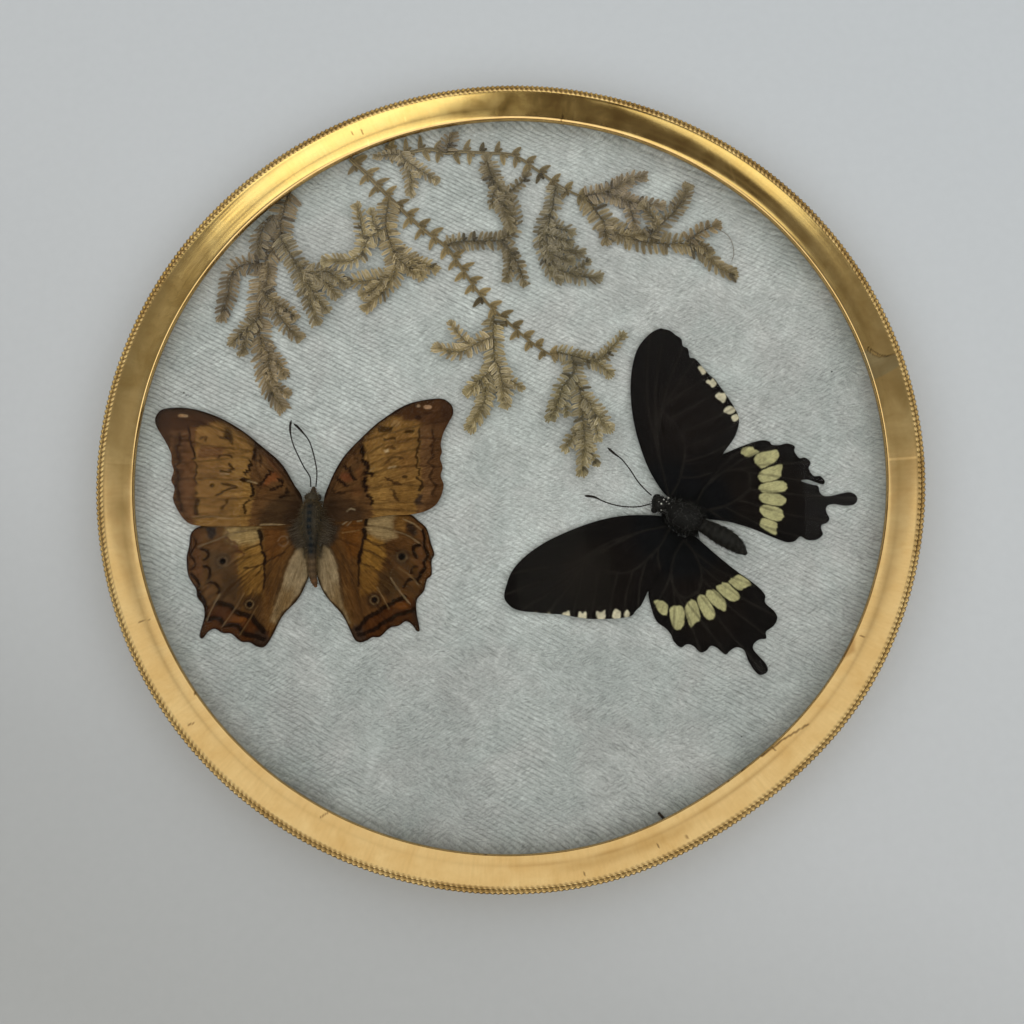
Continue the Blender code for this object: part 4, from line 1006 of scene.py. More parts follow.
RIGHT_FOREWING = [
    ("area", "-34.2,8 -33.2,2 -32,-0.3 -32.6,-4 -31.4,-7.7 -30.8,-13 -43,-14 -43,-6 -38,3", BROWN, 0.5),
    ("area", "-31.8,6 -28,7 -28.4,0 -27.6,-8.6 -25.4,-11.6 -30.4,-12 -31.6,-5 "
             "-31.4,0", OCHRE_BRIGHT, 0.8, 0.9),
    ("area", "-25,7.8 -21,7 -21,4.4 -25,5", (118, 86, 46), 0.6, 0.7),
    ("area", "-24.8,3 -20.8,3 -20.8,-1 -25,-1.4", (110, 78, 42), 0.6, 0.7),
    ("area", "-25.6,-5 -20.6,-5.4 -21.6,-11.6 -26,-11.6", (116, 84, 42), 0.7, 0.6),
    ("area", "-20.2,15 -20.2,2 -19.6,-4 -21,-12 -13,-11 -12,0 -11,14", (97, 69, 43), 0.5),
    ("area", "-17.4,14 -17.8,4 -17.4,-2 -17.2,-6 -19.4,-11.4 -13,-11 -12,0 -11,14", (80, 55, 34), 0.7),
    ("area", "-30,13.5 -24,11 -20.4,10.2 -15.6,9.2 -12,7 -10,16 -18,18", (70, 46, 28), 0.9),
    ("area", "-16.4,16.5 -15.2,11 -12,9 -10,16", (56, 37, 25), 0.7, 0.8),
    ("area", "-42.8,-14 -43,-6 -39.4,-6.4 -35.5,-8.6 -33,-11 -33,-14", (62, 44, 28), 1.0),
    ("area", "-43,-14 -43,-7 -40.6,-8 -38.4,-11 -38.4,-14", ROOT, 1.2),
    ("area", "-38.6,1.6 -35.4,5 -34.8,2.6 -36,0.2", (90, 62, 36), 0.6, 0.9),
    ("area", "-38.4,-1.4 -36.8,-2 -35.6,-3.6 -37.6,-4 -39,-3", (96, 56, 34), 0.5, 0.95),
    ("area", "-35.4,-0.6 -33.8,-0.2 -33.6,-3.6 -34.8,-3.2", (92, 60, 33), 0.5, 0.8),
    ("spot", (-34.8, -6.2), (90, 60, 34), (1.5, 1.4), 0.8),
    ("area", "-34.4,5.4 -33.5,4.6 -33,2 -33.8,1.8 -34.6,3", LINE, 0.35, 0.95),
    ("line", "-33.5,1.2 -32.6,0 -32.2,-0.7", LINE, 0.72, 0.95),
    ("line", "-33.4,6.6 -34.2,5.4", LINE, 0.4, 0.7),
    ("line", "-33,-1.7 -32,-1.8 -31.2,-2.2", LINE, 0.66, 0.95),
    ("line", "-33.1,-3.2 -33.2,-4.6 -32.9,-6", LINE, 0.66, 0.95),
    ("line", "-32.2,-7.2 -31.2,-8 -31.3,-9.2", LINE, 0.55, 0.9),
    ("line", "-35.6,3.2 -35.4,1.8 -34.8,0.8", SEPIA, 0.4, 0.6),
    ("line", "-38,-0.2 -36.9,-0.9 -36.2,-2.5 -35,-3.3", LINE, 0.5, 0.9),
    ("line", "-39.7,-2.8 -38.8,-3.9 -37,-4.9", LINE, 0.5, 0.9),
    ("line", "-40.6,-5.6 -39.6,-6.6 -37.6,-6.6", LINE, 0.4, 0.7),
    ("line", "-20.3,8.8 -20.5,6.5 -20.6,3.8 -20.8,1.8", LINE, 0.42, 0.8),
    ("line", "-20.7,1.2 -20.5,-1.2 -20.3,-2.4", LINE, 0.36, 0.75),
    ("line", "-20.7,-3 -19.7,-4.4 -20.6,-6", LINE, 0.45, 0.85),
    ("area", "-20.6,-6.8 -19.4,-7.2 -19.4,-9.4 -21.2,-9.6", (40, 33, 30), 0.4, 0.85),
    ("line", "-17.4,8.4 -16.9,5.6 -17.6,4 -17.1,2.4 -17.9,0.8 -17.2,-0.8 -17.7,-3 -16.8,-5 "
             "-17.4,-7", SEPIA, 0.42, 0.7),
    ("line", "-29.8,9 -28.6,8.7 -27.4,8.6", LINE, 1.0, 0.8),
    ("line", "-28.4,6.6 -27.2,6.4 -26,6.5", LINE, 0.42, 0.75),
    ("line", "-28.2,4 -27,4.4 -25.8,4.3", SEPIA, 0.36, 0.65),
    ("line", "-28.3,0.4 -27.3,1.5 -25.6,1.9 -24,1.6", SEPIA, 0.36, 0.65),
    ("line", "-28.2,-3 -26.6,-4 -24.6,-4.5", SEPIA, 0.42, 0.8),
    ("spot", (-23.7, -2.8), LINE, (0.7, 0.4), 0.75),
    ("line", "-26.6,-6 -26,-7.4 -25.4,-8.4", SEPIA, 0.5, 0.7),
    ("line", "-23.2,8.2 -22.2,8.1", LINE, 0.6, 0.8),
    ("spot", (-20.9, 11.5), LINE, (0.8, 0.6), 0.75),
    ("line", "-19.4,12.4 -17.8,12.6", SEPIA, 0.5, 0.6),
    ("hatch", "-33,6.5 -20.4,8 -20.4,-11 -31,-12", (72, 47, 26), (8.0, 0.55), 0.4),
    ("hatch", "-34,4 -40,-3 -43,-14 -31,-13", (50, 35, 23), (28.0, 0.6), 0.4),
    ("line", "-42.4,-7.6 -41.6,-5 -40,-1.1 -37.8,2.6 -32.9,7.9 -29.5,10.9 -23.7,14.6 "
             "-18.3,15.9", (62, 44, 29), 1.7, 0.65),
    ("line", "-42.4,-7.6 -41.6,-5 -40,-1.1 -37.8,2.6 -32.9,7.9 -29.5,10.9 -23.7,14.6 -18.3,15.9 "
             "-14.9,15.9 -12.9,14.3 -12.6,12.3", EDGE, 0.6, 0.95),
    ("spot", (-18.6, 14), (158, 126, 96), (1.0, 0.5)),
    ("spot", (-20.8, 14.3), (150, 126, 98), (0.45, 0.35), 0.8),
    ("spot", (-26.1, 10), (126, 98, 62), (1.2, 0.9), 0.8),
    ("line", "-28.6,3.2 -27.4,3.5", (170, 148, 112), 0.36, 0.8),
    ("line", "-27.2,-0.5 -26,-0.3", (166, 142, 104), 0.36, 0.8),
    ("crease", "-37,-10.9 -36,-10.3 -35.2,-10.6", (140, 124, 98), 0.3, 0.7),
    ("crease", "-32,-1.4 -30.8,-0.6", (142, 120, 84), 0.26, 0.6),
]
LEFT_HINDWING_VEINS = [
    "-47.5,-16 -53,-18.6 -57,-20.6 -62.5,-22.4 -66.5,-25.2 -71,-29",
    "-47.5,-16 -52,-21 -56,-27 -61,-33 -65,-38.4",
    "-55.5,-28 -58,-34 -60.6,-40",
    "-50.5,-15 -57,-15 -64,-16 -71.8,-19.2",
    "-57,-18.2 -63,-20.4 -73,-23.6",
    "-57.6,-23.8 -63,-28 -68.8,-36",
]
LEFT_HINDWING = [
    ("area", "-57.6,-12 -56.6,-18 -55.9,-22 -55.8,-29 -54,-42 -45,-36 -44,-12", (88, 60, 31), 0.5),
    ("area", "-56.6,-14.8 -55.8,-21.5 -53,-22 -51.6,-17 -52,-14.6", (88, 56, 27), 0.9, 0.9),
    ("area", "-60.8,-17 -57.2,-17 -56,-22 -56.2,-25 -61.6,-26 -62.4,-21", (126, 93, 46), 0.7),
    ("area", "-61.8,-25 -56,-24.6 -56,-31 -59.6,-31", (108, 77, 36), 0.8),
    ("area", "-65.4,-14.4 -57.6,-14 -56.8,-17.2 -58.6,-18.6 -61,-18.4 -63.4,-19.2 "
             "-65.6,-17", CREAM, 1.0, 0.95),
    ("area", "-69,-20 -64,-20.4 -63.6,-24.6 -68.6,-25", (80, 61, 39), 0.7, 0.8),
    ("area", "-65.4,-24.6 -62.6,-25.2 -61.4,-29.2 -62.4,-31.6 -66.4,-31", OLIVE, 0.9, 0.75),
    ("area", "-60.6,-30.4 -56.2,-30 -55.6,-37 -59,-35", (66, 45, 25), 0.7, 0.8),
    ("area", "-71,-14 -75,-14 -75,-28 -70.6,-29.6 -70.4,-24 -71.2,-19", (84, 55, 32), 0.6),
    ("area", "-66.6,-32.2 -63.2,-33.2 -60.8,-34.8 -58,-35.8 -55.6,-38.4 -54,-38.6 -54,-43 -71,-42 "
             "-71,-34", RUST, 0.4),
    ("area", "-73,-28 -70,-29 -68.6,-33 -68.6,-36 -69,-41 -73,-41", (50, 33, 21), 0.5, 0.9),
    ("spot", (-61.5, -35.6), (98, 58, 24), (2.2, 1.0), 0.7),
    ("area", "-57.4,-38.2 -55,-38.4 -53.6,-40.2 -53.6,-43 -58,-43", (48, 38, 31), 0.6, 0.8),
    ("area", "-48.2,-18.8 -49.6,-21.6 -50.9,-25 -51.8,-29 -52.7,-32 -53.8,-36 -52,-37 -49.5,-33.8 "
             "-47.2,-31 -45.2,-27.8 -44.3,-24.4 -45,-19", FOLD, 0.5),
    ("area", "-51.9,-28.6 -52.7,-32 -53.8,-36 -52,-37 -48.4,-32.4 -48.8,-28.8", (108, 84, 52), 1.9, 0.9),
    ("line", "-46.4,-29 -48.4,-31.4", (92, 66, 38), 0.5, 0.6),
    ("area", "-47.2,-13.5 -51.4,-14.4 -50.4,-17.6 -48.6,-19.4 -47,-19", (58, 48, 38), 0.9),
    ("line", "-48.6,-19.2 -50.2,-21.6 -51.4,-25 -52.3,-29 -53.2,-32.5", (60, 44, 28), 0.5, 0.6),
    ("area", "-70.2,-14.2 -67.8,-14.4 -67.6,-16.2 -68.4,-17.4 -69.6,-16.6", (36, 33, 32), 0.4, 0.9),
    ("hatch", "-71,-29 -60.6,-19.6 -57,-25 -62,-33 -68,-34", (48, 34, 22), (41.0, 0.42), 0.6),
    ("hatch", "-65,-24 -60.5,-25 -56,-30 -56,-36 -64,-32", (44, 32, 21), (72.0, 0.4), 0.5),
    ("hatch", "-56,-15 -51,-17 -50,-26 -54,-38 -56,-30", (54, 37, 23), (76.0, 0.5), 0.45),
    ("hatch", "-47,-19 -51,-25 -53,-34 -49,-33 -45,-25", (96, 80, 56), (70.0, 0.5), 0.5),
    ("line", "-57.5,-15.4 -57.1,-16.4 -56.9,-17.2", LINE, 0.72, 0.95),
    ("line", "-57,-17.6 -56.6,-19.6", LINE, 0.38, 0.9),
    ("line", "-56.6,-20.3 -55.8,-21.6 -55.7,-22.8", LINE, 0.5, 0.95),
    ("line", "-55.9,-23 -55.7,-25 -55.8,-28.4", LINE, 0.36, 0.85),
    ("line", "-60.6,-24 -57.6,-23.6 -55,-22.3 -51.4,-20.4", SEPIA, 0.3, 0.75),
    ("line", "-57.8,-25.8 -56.4,-23.8", SEPIA, 0.28, 0.7),
    ("line", "-62,-20.6 -57,-18.2", SEPIA, 0.28, 0.6),
    ("line", "-64.9,-15.6 -65.4,-17.4 -64.4,-18.6 -63.2,-19.2 -62.6,-18.4", (70, 48, 30), 0.4, 0.65),
    ("spot", (-65.7, -22.4), (52, 38, 26), (1.9, 1.9), 0.75),
    ("ring", (-65.7, -22.4), (110, 91, 65), (1.12, 0.3), 0.6),
    ("spot", (-65.6, -22.4), (20, 17, 15), (0.72, 0.72)),
    ("line", "-65.6,-16.6 -64.6,-17 -64.2,-17.9 -63.2,-17.9 -63.4,-19 -62.5,-18.8 -62.6,-19.9 "
             "-61.4,-20.2 -60.8,-20.9", (72, 43, 26), 0.42, 0.8),
    ("spot", (-58.9, -32.4), (48, 34, 22), (1.5, 1.5), 0.8),
    ("ring", (-58.9, -32.4), (108, 88, 60), (0.9, 0.28), 0.6),
    ("spot", (-58.9, -32.4), (21, 17, 14), (0.6, 0.6)),
    ("line", "-66.6,-32 -64.5,-32.4 -63.1,-33.1 -62.3,-33.9 -60.8,-34.5 -59.3,-35 -58,-35.5 -57.2,-36.6 "
             "-56.2,-37.6 -55.4,-38.5", LINE, 0.9, 0.95),
    ("line", "-69.9,-34.8 -68.5,-35.8 -66.5,-35.5 -65.3,-36.2 -64.5,-37.1 -62.5,-37 -61,-37.5 -60.3,-39 "
             "-58.5,-39.3 -56.8,-39.8 -55.3,-40.3", LINE, 0.76, 0.95),
    ("line", "-72.8,-16.6 -72,-18.2 -72.7,-19.6 -73.2,-21 -72.2,-22 -72.1,-23.6 "
             "-73,-24.4", LINE, 0.4, 0.85),
    ("line", "-72.9,-25.3 -71.6,-26.4 -70.8,-28 -70.8,-29.6 -69.4,-31 -69,-33", LINE, 0.55, 0.95),
    ("line", "-70.6,-19.6 -69.2,-20 -69.1,-21.3 -70,-22", LINE, 0.55, 0.92),
    ("line", "-70,-23.5 -68.9,-24 -68.4,-25 -68.7,-26.6", LINE, 0.55, 0.92),
    ("line", "-69.2,-27.3 -67.5,-27.3 -66.3,-28.5 -66,-30", LINE, 0.52, 0.9),
    ("crease", "-71.6,-19 -68,-17.6 -64.5,-16.2 -60.4,-15.2", PALE, 0.26, 0.65),
    ("crease", "-71,-28.8 -66,-24.8 -62.5,-21.6 -60.3,-20.8", (126, 98, 62), 0.24, 0.5),
    ("crease", "-68.6,-36 -67.4,-33 -65.8,-30", PALE, 0.24, 0.5),
    ("crease", "-65.2,-37.8 -62.3,-33.6 -60.2,-29.8", (130, 104, 70), 0.24, 0.5),
    ("crease", "-60.8,-39.4 -58.6,-35.6 -57,-32.8", (124, 98, 64), 0.24, 0.5),
    ("crease", "-53,-17.8 -52.2,-16.6 -50.9,-16.8 -50.7,-18.2 -51.7,-19 "
               "-52.8,-18.4", (116, 98, 80), 0.24, 0.4),
    ("margin", None, EDGE, 0.55, 0.9),
]
LEFT_HINDWING_CREASES = [
    "-71.6,-19 -68,-17.6 -64.5,-16.2",
    "-68.6,-36 -65.8,-30",
    "-65.2,-37.8 -60.2,-29.8",
    "-60.8,-39.4 -57,-32.8",
    "-71,-28.8 -62.5,-21.6",
]
RIGHT_HINDWING_VEINS = [
    "-42.6,-15.4 -38,-17.6 -33,-19.6 -28,-22.6 -24,-26.6 -20,-31",
    "-42.6,-15.4 -38.6,-20 -34.6,-27 -29.5,-33 -27,-37",
    "-34.6,-27 -33.4,-33 -31.6,-39.6",
    "-39,-14.4 -33,-14.2 -26,-15.4 -18.6,-18.6",
    "-33,-17.4 -27,-19.6 -17.6,-22.6",
    "-33.6,-23 -28,-26 -22.4,-32.6",
]
RIGHT_HINDWING = [
    ("area", "-32.2,-9 -33.2,-17 -34,-22 -34.1,-28 -35.6,-42 -45,-36 -45,-10", (82, 55, 28), 0.5),
    ("area", "-33.2,-12 -34,-21.5 -36.6,-21.6 -38.4,-16 -38,-12", (90, 56, 24), 0.8, 0.95),
    ("area", "-32.6,-16 -28.4,-17.4 -27.6,-21 -29.2,-25 -33.8,-24.8", (120, 86, 38), 0.6),
    ("area", "-33.8,-24.6 -29,-24.8 -29.4,-29.4 -33.6,-30.6", (102, 71, 32), 0.8),
    ("area", "-32.4,-12 -25.6,-11.6 -26.6,-13.6 -26,-15.2 -25.4,-16.8 -28.2,-17.8 -30.2,-17 "
             "-32.4,-15.4", (138, 117, 82), 0.9, 0.95),
    ("area", "-29,-25 -25,-24.4 -24,-28.6 -26,-31.4 -29.4,-29.6", (64, 46, 26), 0.8, 0.85),
    ("area", "-25.6,-12 -22.8,-12.2 -23.6,-15.6 -26,-15.2", (112, 80, 40), 0.6, 0.7),
    ("area", "-20,-13 -16,-14 -16,-27 -20.4,-27 -20.6,-20", (84, 54, 30), 0.6),
    ("area", "-22.6,-30.6 -25,-31.6 -28.5,-33.8 -31.5,-35.4 -34.2,-38.4 -34.4,-42 -19,-41 "
             "-19,-32", RUST, 0.4),
    ("spot", (-24, -32.8), (96, 56, 24), (1.8, 0.8), 0.7),
    ("area", "-17.4,-27 -20,-29 -21.6,-32.6 -21.4,-36 -20.6,-40 -17,-40", (50, 33, 21), 0.5, 0.9),
    ("area", "-33,-37.4 -34.6,-37 -36.4,-40 -34,-42 -31.6,-40.4", (56, 45, 38), 0.6, 0.8),
    ("area", "-42.8,-18.8 -41.5,-18.6 -40.2,-20.5 -39,-23.5 -38.5,-27 -38.1,-30 -37.4,-33 -35.6,-36.6 "
             "-36.8,-37.4 -40,-33 -42.6,-29.6 -45,-25 -44.6,-20", FOLD, 0.5),
    ("area", "-39.4,-28 -38.2,-28.4 -37.4,-33 -35.6,-36.6 -36.8,-37.4 "
             "-40.6,-32.4", (102, 79, 48), 1.9, 0.9),
    ("area", "-42.6,-13 -38.6,-14 -39.4,-17.4 -41,-19 -42.8,-18.6", (56, 46, 36), 0.9),
    ("line", "-41.4,-18.8 -39.8,-21 -38.6,-24 -38.1,-27.4 -37.4,-31.4", (58, 42, 27), 0.5, 0.6),
    ("area", "-23.2,-13.8 -21.6,-13.6 -20.6,-15.8 -21.4,-17 -22.8,-15.8", (38, 29, 22), 0.45, 0.9),
    ("hatch", "-32,-18 -24,-17 -19,-28 -25,-33 -31,-28", (48, 34, 22), (-42.0, 0.42), 0.55),
    ("hatch", "-34,-24 -26,-24 -25,-31 -31,-35", (44, 32, 21), (-68.0, 0.4), 0.45),
    ("hatch", "-33.6,-14 -38,-16 -39,-25 -36,-37 -34,-30", (52, 35, 22), (-78.0, 0.5), 0.45),
    ("hatch", "-42.6,-19 -39.4,-24 -37,-34 -41,-32 -44,-25", (96, 80, 56), (-76.0, 0.5), 0.5),
    ("line", "-32.6,-12.6 -32.7,-14", LINE, 0.55, 0.95),
    ("line", "-33,-15.2 -32.8,-16 -32.8,-17", LINE, 0.75, 0.95),
    ("line", "-33.2,-17.4 -33.4,-19.6", LINE, 0.42, 0.9),
    ("line", "-33.6,-20 -34,-21.4 -34,-22.8", LINE, 0.62, 0.95),
    ("line", "-34,-23.4 -33.9,-25.6 -34,-28", LINE, 0.36, 0.8),
    ("line", "-32.6,-17.2 -30.2,-18.8 -27.6,-18.6", SEPIA, 0.28, 0.6),
    ("line", "-33.4,-19.6 -30.4,-20.8 -26.4,-23.6", SEPIA, 0.28, 0.6),
    ("line", "-33.8,-23 -30.3,-23.9", SEPIA, 0.28, 0.55),
    ("spot", (-24, -21.5), (50, 36, 24), (1.9, 1.9), 0.75),
    ("ring", (-24.1, -21.5), (104, 86, 60), (1.14, 0.3), 0.55),
    ("spot", (-24.1, -21.5), (20, 17, 15), (0.85, 0.85)),
    ("spot", (-30.2, -31.5), (48, 34, 22), (1.8, 1.8), 0.75),
    ("ring", (-30.2, -31.5), (108, 89, 62), (0.96, 0.28), 0.6),
    ("spot", (-30.2, -31.5), (21, 18, 16), (0.62, 0.62)),
    ("line", "-20.2,-18.8 -21.4,-19.2 -21.3,-20.8 -20.8,-21.6", LINE, 0.6, 0.95),
    ("line", "-22,-25.4 -21.4,-23.9 -20.4,-23.9", LINE, 0.4, 0.8),
    ("line", "-23.6,-28.4 -22.6,-27 -21,-26.8 -19.9,-27.8", LINE, 0.55, 0.92),
    ("line", "-19.4,-15.4 -18.8,-17 -19.1,-19.4 -18.2,-21 -18.9,-22.8 -18.7,-24.2 -19.8,-25.6 "
             "-20.3,-27.4", LINE, 0.55, 0.95),
    ("line", "-23.2,-30.7 -25,-31.5 -26.8,-32.6 -28.5,-33.7 -30,-34.6 -31.5,-35.2 -32.5,-36.6 "
             "-34,-38.2", LINE, 0.76, 0.95),
    ("line", "-20.8,-33.5 -23,-34.4 -24.6,-34.8 -26,-35.8 -28,-36.6 -29.5,-37.8 -31.5,-38.9 "
             "-33.6,-39.3", LINE, 0.7, 0.95),
    ("crease", "-26,-15.5 -23,-16.5 -20.2,-18.3", PALE, 0.26, 0.65),
    ("crease", "-24,-12.7 -21.4,-13.9 -19.8,-15.2", PALE, 0.26, 0.5),
    ("crease", "-26.6,-26.4 -24.6,-29.4 -22.2,-32.2", PALE, 0.26, 0.5),
    ("crease", "-29.6,-28.6 -28.2,-31 -26.8,-33.5", (132, 106, 72), 0.24, 0.5),
    ("crease", "-24.8,-24 -21.6,-26.4 -20,-28.2", (124, 98, 64), 0.28, 0.5),
    ("crease", "-38,-15.9 -36,-15.6 -34.2,-15.3", (120, 92, 58), 0.26, 0.6),
    ("crease", "-38,-13.9 -36.6,-12.9", (150, 136, 108), 0.26, 0.6),
    ("crease", "-37,-14.2 -36,-13.2", (140, 124, 96), 0.24, 0.5),
    ("crease", "-34.6,-13.2 -33.6,-13", (150, 136, 108), 0.26, 0.6),
    ("margin", None, EDGE, 0.5, 0.9),
]
RIGHT_HINDWING_CREASES = [
    "-26,-15.5 -23,-16.5 -20.2,-18.3",
    "-26.6,-26.4 -22.2,-32.2",
    "-29.6,-28.6 -26.8,-33.5",
    "-24.8,-24 -20,-28.2",
]
# The node, root, ground colour, markings, veins and creases of each of its wings.
CRUISER_WINGS = [
    ("cruiser_forewing_left", (-46.6, -9.0), OCHRE, LEFT_FOREWING, LEFT_FOREWING_VEINS, []),
    ("cruiser_forewing_right", (-43.4, -9.0), OCHRE, RIGHT_FOREWING, RIGHT_FOREWING_VEINS, []),
    ("cruiser_hindwing_left", (-46.6, -14.6), (86, 60, 33), LEFT_HINDWING, LEFT_HINDWING_VEINS,
     LEFT_HINDWING_CREASES),
    ("cruiser_hindwing_right", (-43.4, -14.6), (79, 53, 28), RIGHT_HINDWING, RIGHT_HINDWING_VEINS,
     RIGHT_HINDWING_CREASES),
]


def cruiser_wing(node, root, base, layers, veins, creases):
    """What make_wing needs for a wing of the brown butterfly."""
    fore = "fore" in node
    return {
        "low": FOREWING_LOW if fore else HINDWING_LOW, "base": base, "under": BROWN, "mottle": 0.42,
        "vein_colour": (46, 30, 18), "vein_share": 0.55 if fore else 0.5, "root": root,
        "edges": (0.24, 0.95) if fore else (0.2, 0.42), "veins": [path(vein) for vein in veins],
        "layers": layers, "creases": [path(crease) for crease in creases],
    }


BLACK, FORE_CREAM, HIND_CREAM = (19, 17, 16), (198, 192, 166), (174, 170, 125)
# Cream cells and fringe spots of the black butterfly.
CELLS = {
    "mormon_forewing_upper": [
        "45,22.9 45.6,23.3 46.6,22.7 46.9,21.9 46.1,21.2 45.6,21.9",
        "46.9,19.5 47.4,20.1 47.9,19.8 48.5,20.4 49.3,19 48.4,18.2 47.8,18.8",
        "48.9,16 49.6,16.9 50.3,16.7 51.2,16.7 51.4,15.4 50.7,14.4 49.8,15.1",
        "50.7,12.2 51.2,13.2 52.4,13.6 53.4,12.7 53,12 52,11.6 51.4,12",
        "52.4,10.7 52.8,11.3 53.9,11.5 54.3,10.8 53.3,9.9 52.7,10.1",
    ],
    "mormon_hindwing_upper": [
        "54.5,2.8 55.1,3.7 57.1,3.9 57.7,3.2 58.7,2.7 57.2,1.8 56.2,1.4 55.2,1.7",
        "57.4,0.9 58.3,2.15 60.6,2.8 62.8,2.9 63.1,2 62.7,0.8 61.8,0 59.1,-1.2 58.2,-0.8",
        "58.1,-3.7 58.6,-2.3 59.7,-1.5 61.8,-0.8 63.7,-0.4 63.4,-2.15 63.4,-3.2 62,-4 59.4,-4.5 "
        "58.5,-4.25",
        "58.2,-6.3 58.5,-5.4 59.4,-4.8 62.2,-4.3 63.8,-4.4 64.6,-5.5 64.3,-6.6 62.8,-6.9 60.3,-7.1 "
        "58.8,-7",
        "58.1,-8.15 58.6,-7.3 60.3,-7.2 62.5,-7.4 64.2,-8.5 64.1,-9.5 63.1,-10.1 60.6,-9.8 58.9,-9.2",
        "58.2,-10.8 58.8,-10 60.3,-10 63.1,-10.9 63.5,-12.5 62.8,-13.5 61.5,-13.6 58.9,-12.5",
        "58.2,-14 58.5,-13.1 59.7,-13.2 62,-14.3 61.8,-15.4 61.6,-16.9 60,-16.2 58.2,-14.9",
    ],
    "mormon_forewing_lower": [
        "6.4,-35.1 6.65,-34.3 7,-35.2",
        "9.3,-35.4 9.6,-34.3 10,-35.4",
        "12.5,-35.3 12.9,-34.5 13.4,-34.6 14,-34.1 14.3,-35.5",
        "16.2,-36 16.5,-34.4 17.2,-34.8 17.9,-34.3 18,-36",
        "20.3,-34.7 20.6,-34.2 21.4,-34.7 22.3,-34.1 22.4,-35 22,-36.2 20.8,-36.2",
        "24,-34.9 24.7,-33.7 25.4,-34 25.8,-34.8 25.5,-36.1 24.3,-36.1",
        "26.5,-35.6 26.7,-34.6 27.4,-33.9 27.7,-34.8 27.6,-35.7",
    ],
    "mormon_hindwing_lower": [
        "33.45,-32 35,-31.8 36.4,-32.7 36.4,-34.2 36,-35.1 34.6,-34.4 33.9,-33.25",
        "36.9,-34.2 37.3,-33.4 39.2,-33.1 40.1,-33.8 40.2,-35.5 39.8,-37.6 38.5,-38.5 37.5,-37.6 "
        "37,-35.9",
        "40.4,-33.4 41.8,-31.7 43,-32.4 43.7,-35.5 43.5,-36.35 42.3,-37.05 41.6,-37.8 41.1,-36.8 "
        "40.5,-34.8",
        "43.3,-32.3 43.5,-30.85 44.6,-30.6 45.4,-31.4 46.85,-33.95 47.1,-35.4 46.4,-36.2 45.3,-36.1 "
        "44.3,-34.8",
        "45.2,-30.6 45.9,-29.5 47.3,-29.6 48.8,-31.1 49.7,-32.5 49.5,-34 49,-34.2 47.4,-33.4 46.3,-32.4",
        "47.6,-29 48.5,-28.2 50,-27.9 51.1,-28.9 52.5,-30.3 52.7,-31.1 51.9,-32 50.8,-32 49.1,-30.85",
        "50.4,-27.6 51.8,-26.5 53.1,-26.1 55.5,-28.2 54,-29 53.3,-29.7 52.3,-29.4 51.1,-28.3",
    ],
}
# Its wings' roots, the outlines of their cells, and the ends of the veins along the margin.
MORMON_VEINS = {
    "mormon_forewing_upper": (
        (37.5, -8.5),
        "36.2,-2 34.6,6 35.4,12.6 39.4,9 41.4,4 40.2,-3.4",
        "33.8,31.2 37.4,32.4 41.6,28.4 44.4,25 47.6,21 50.4,17.4 53,13 54,9.6 51.6,4.4 47,-2.6",
    ),
    "mormon_hindwing_upper": (
        (43.4, -10.2),
        "46,-5.4 51,-1.8 55.8,-2.2 56,-6.2 51.4,-9.6 46.4,-11",
        "57,4.6 62.4,4.2 69.8,0 72.9,-5.2 80,-8.6 73.2,-13.8 68.6,-17.9 60,-17.2",
    ),
    "mormon_forewing_lower": (
        (37.6, -14.6),
        "30.4,-16.2 22.6,-19 17.6,-22.4 22,-25.2 28.4,-25.2 34.6,-20",
        "1.4,-25.6 -0.2,-30.4 3.6,-34 9.4,-34.6 15,-35.4 19,-35.8 23.2,-35.8 26.4,-35.6 29.8,-33.6 "
        "35,-24.8",
    ),
    "mormon_hindwing_lower": (
        (40.6, -18),
        "38.2,-22 37.6,-27.6 40.2,-31.2 43.6,-29.6 44.4,-25.4 42.8,-20.8",
        "33.2,-34 37.2,-40.6 43.4,-43.2 49,-43.6 57.4,-48 58.2,-39.6 60.6,-35.4 56.4,-28.6",
    ),
}


def mormon_wing(node):
    """What make_wing needs for a wing of the black butterfly."""
    root, cell, margins = MORMON_VEINS[node]
    cell, margins = path(cell), path(margins)
    fore = "fore" in node
    middle = np.mean(margins, axis=0) * 0.5 + np.mean(cell, axis=0) * 0.5
    layers = [("spot", tuple(middle), (23, 19, 16), (9.0, 9.0), 0.6),
              ("spot", root, (14, 16, 18), (9.0, 9.0), 0.7)]
    for patch in CELLS[node]:
        patch = smooth_curve(path(patch), 0.3, closed=True)
        layers.append(("area", patch, FORE_CREAM if fore else HIND_CREAM, 0.16))
    return {
        "low": FOREWING_LOW if fore else HINDWING_LOW, "base": BLACK, "under": (34, 30, 27),
        "mottle": 0.5, "vein_colour": (43, 40, 36), "vein_share": 0.5, "root": root,
        "edges": (0.1, 0.35), "veins": vein_lines(root, cell, margins), "layers": layers, "creases": [],
    }


# ---------------------------------------------------------------- bodies, fur, antennae

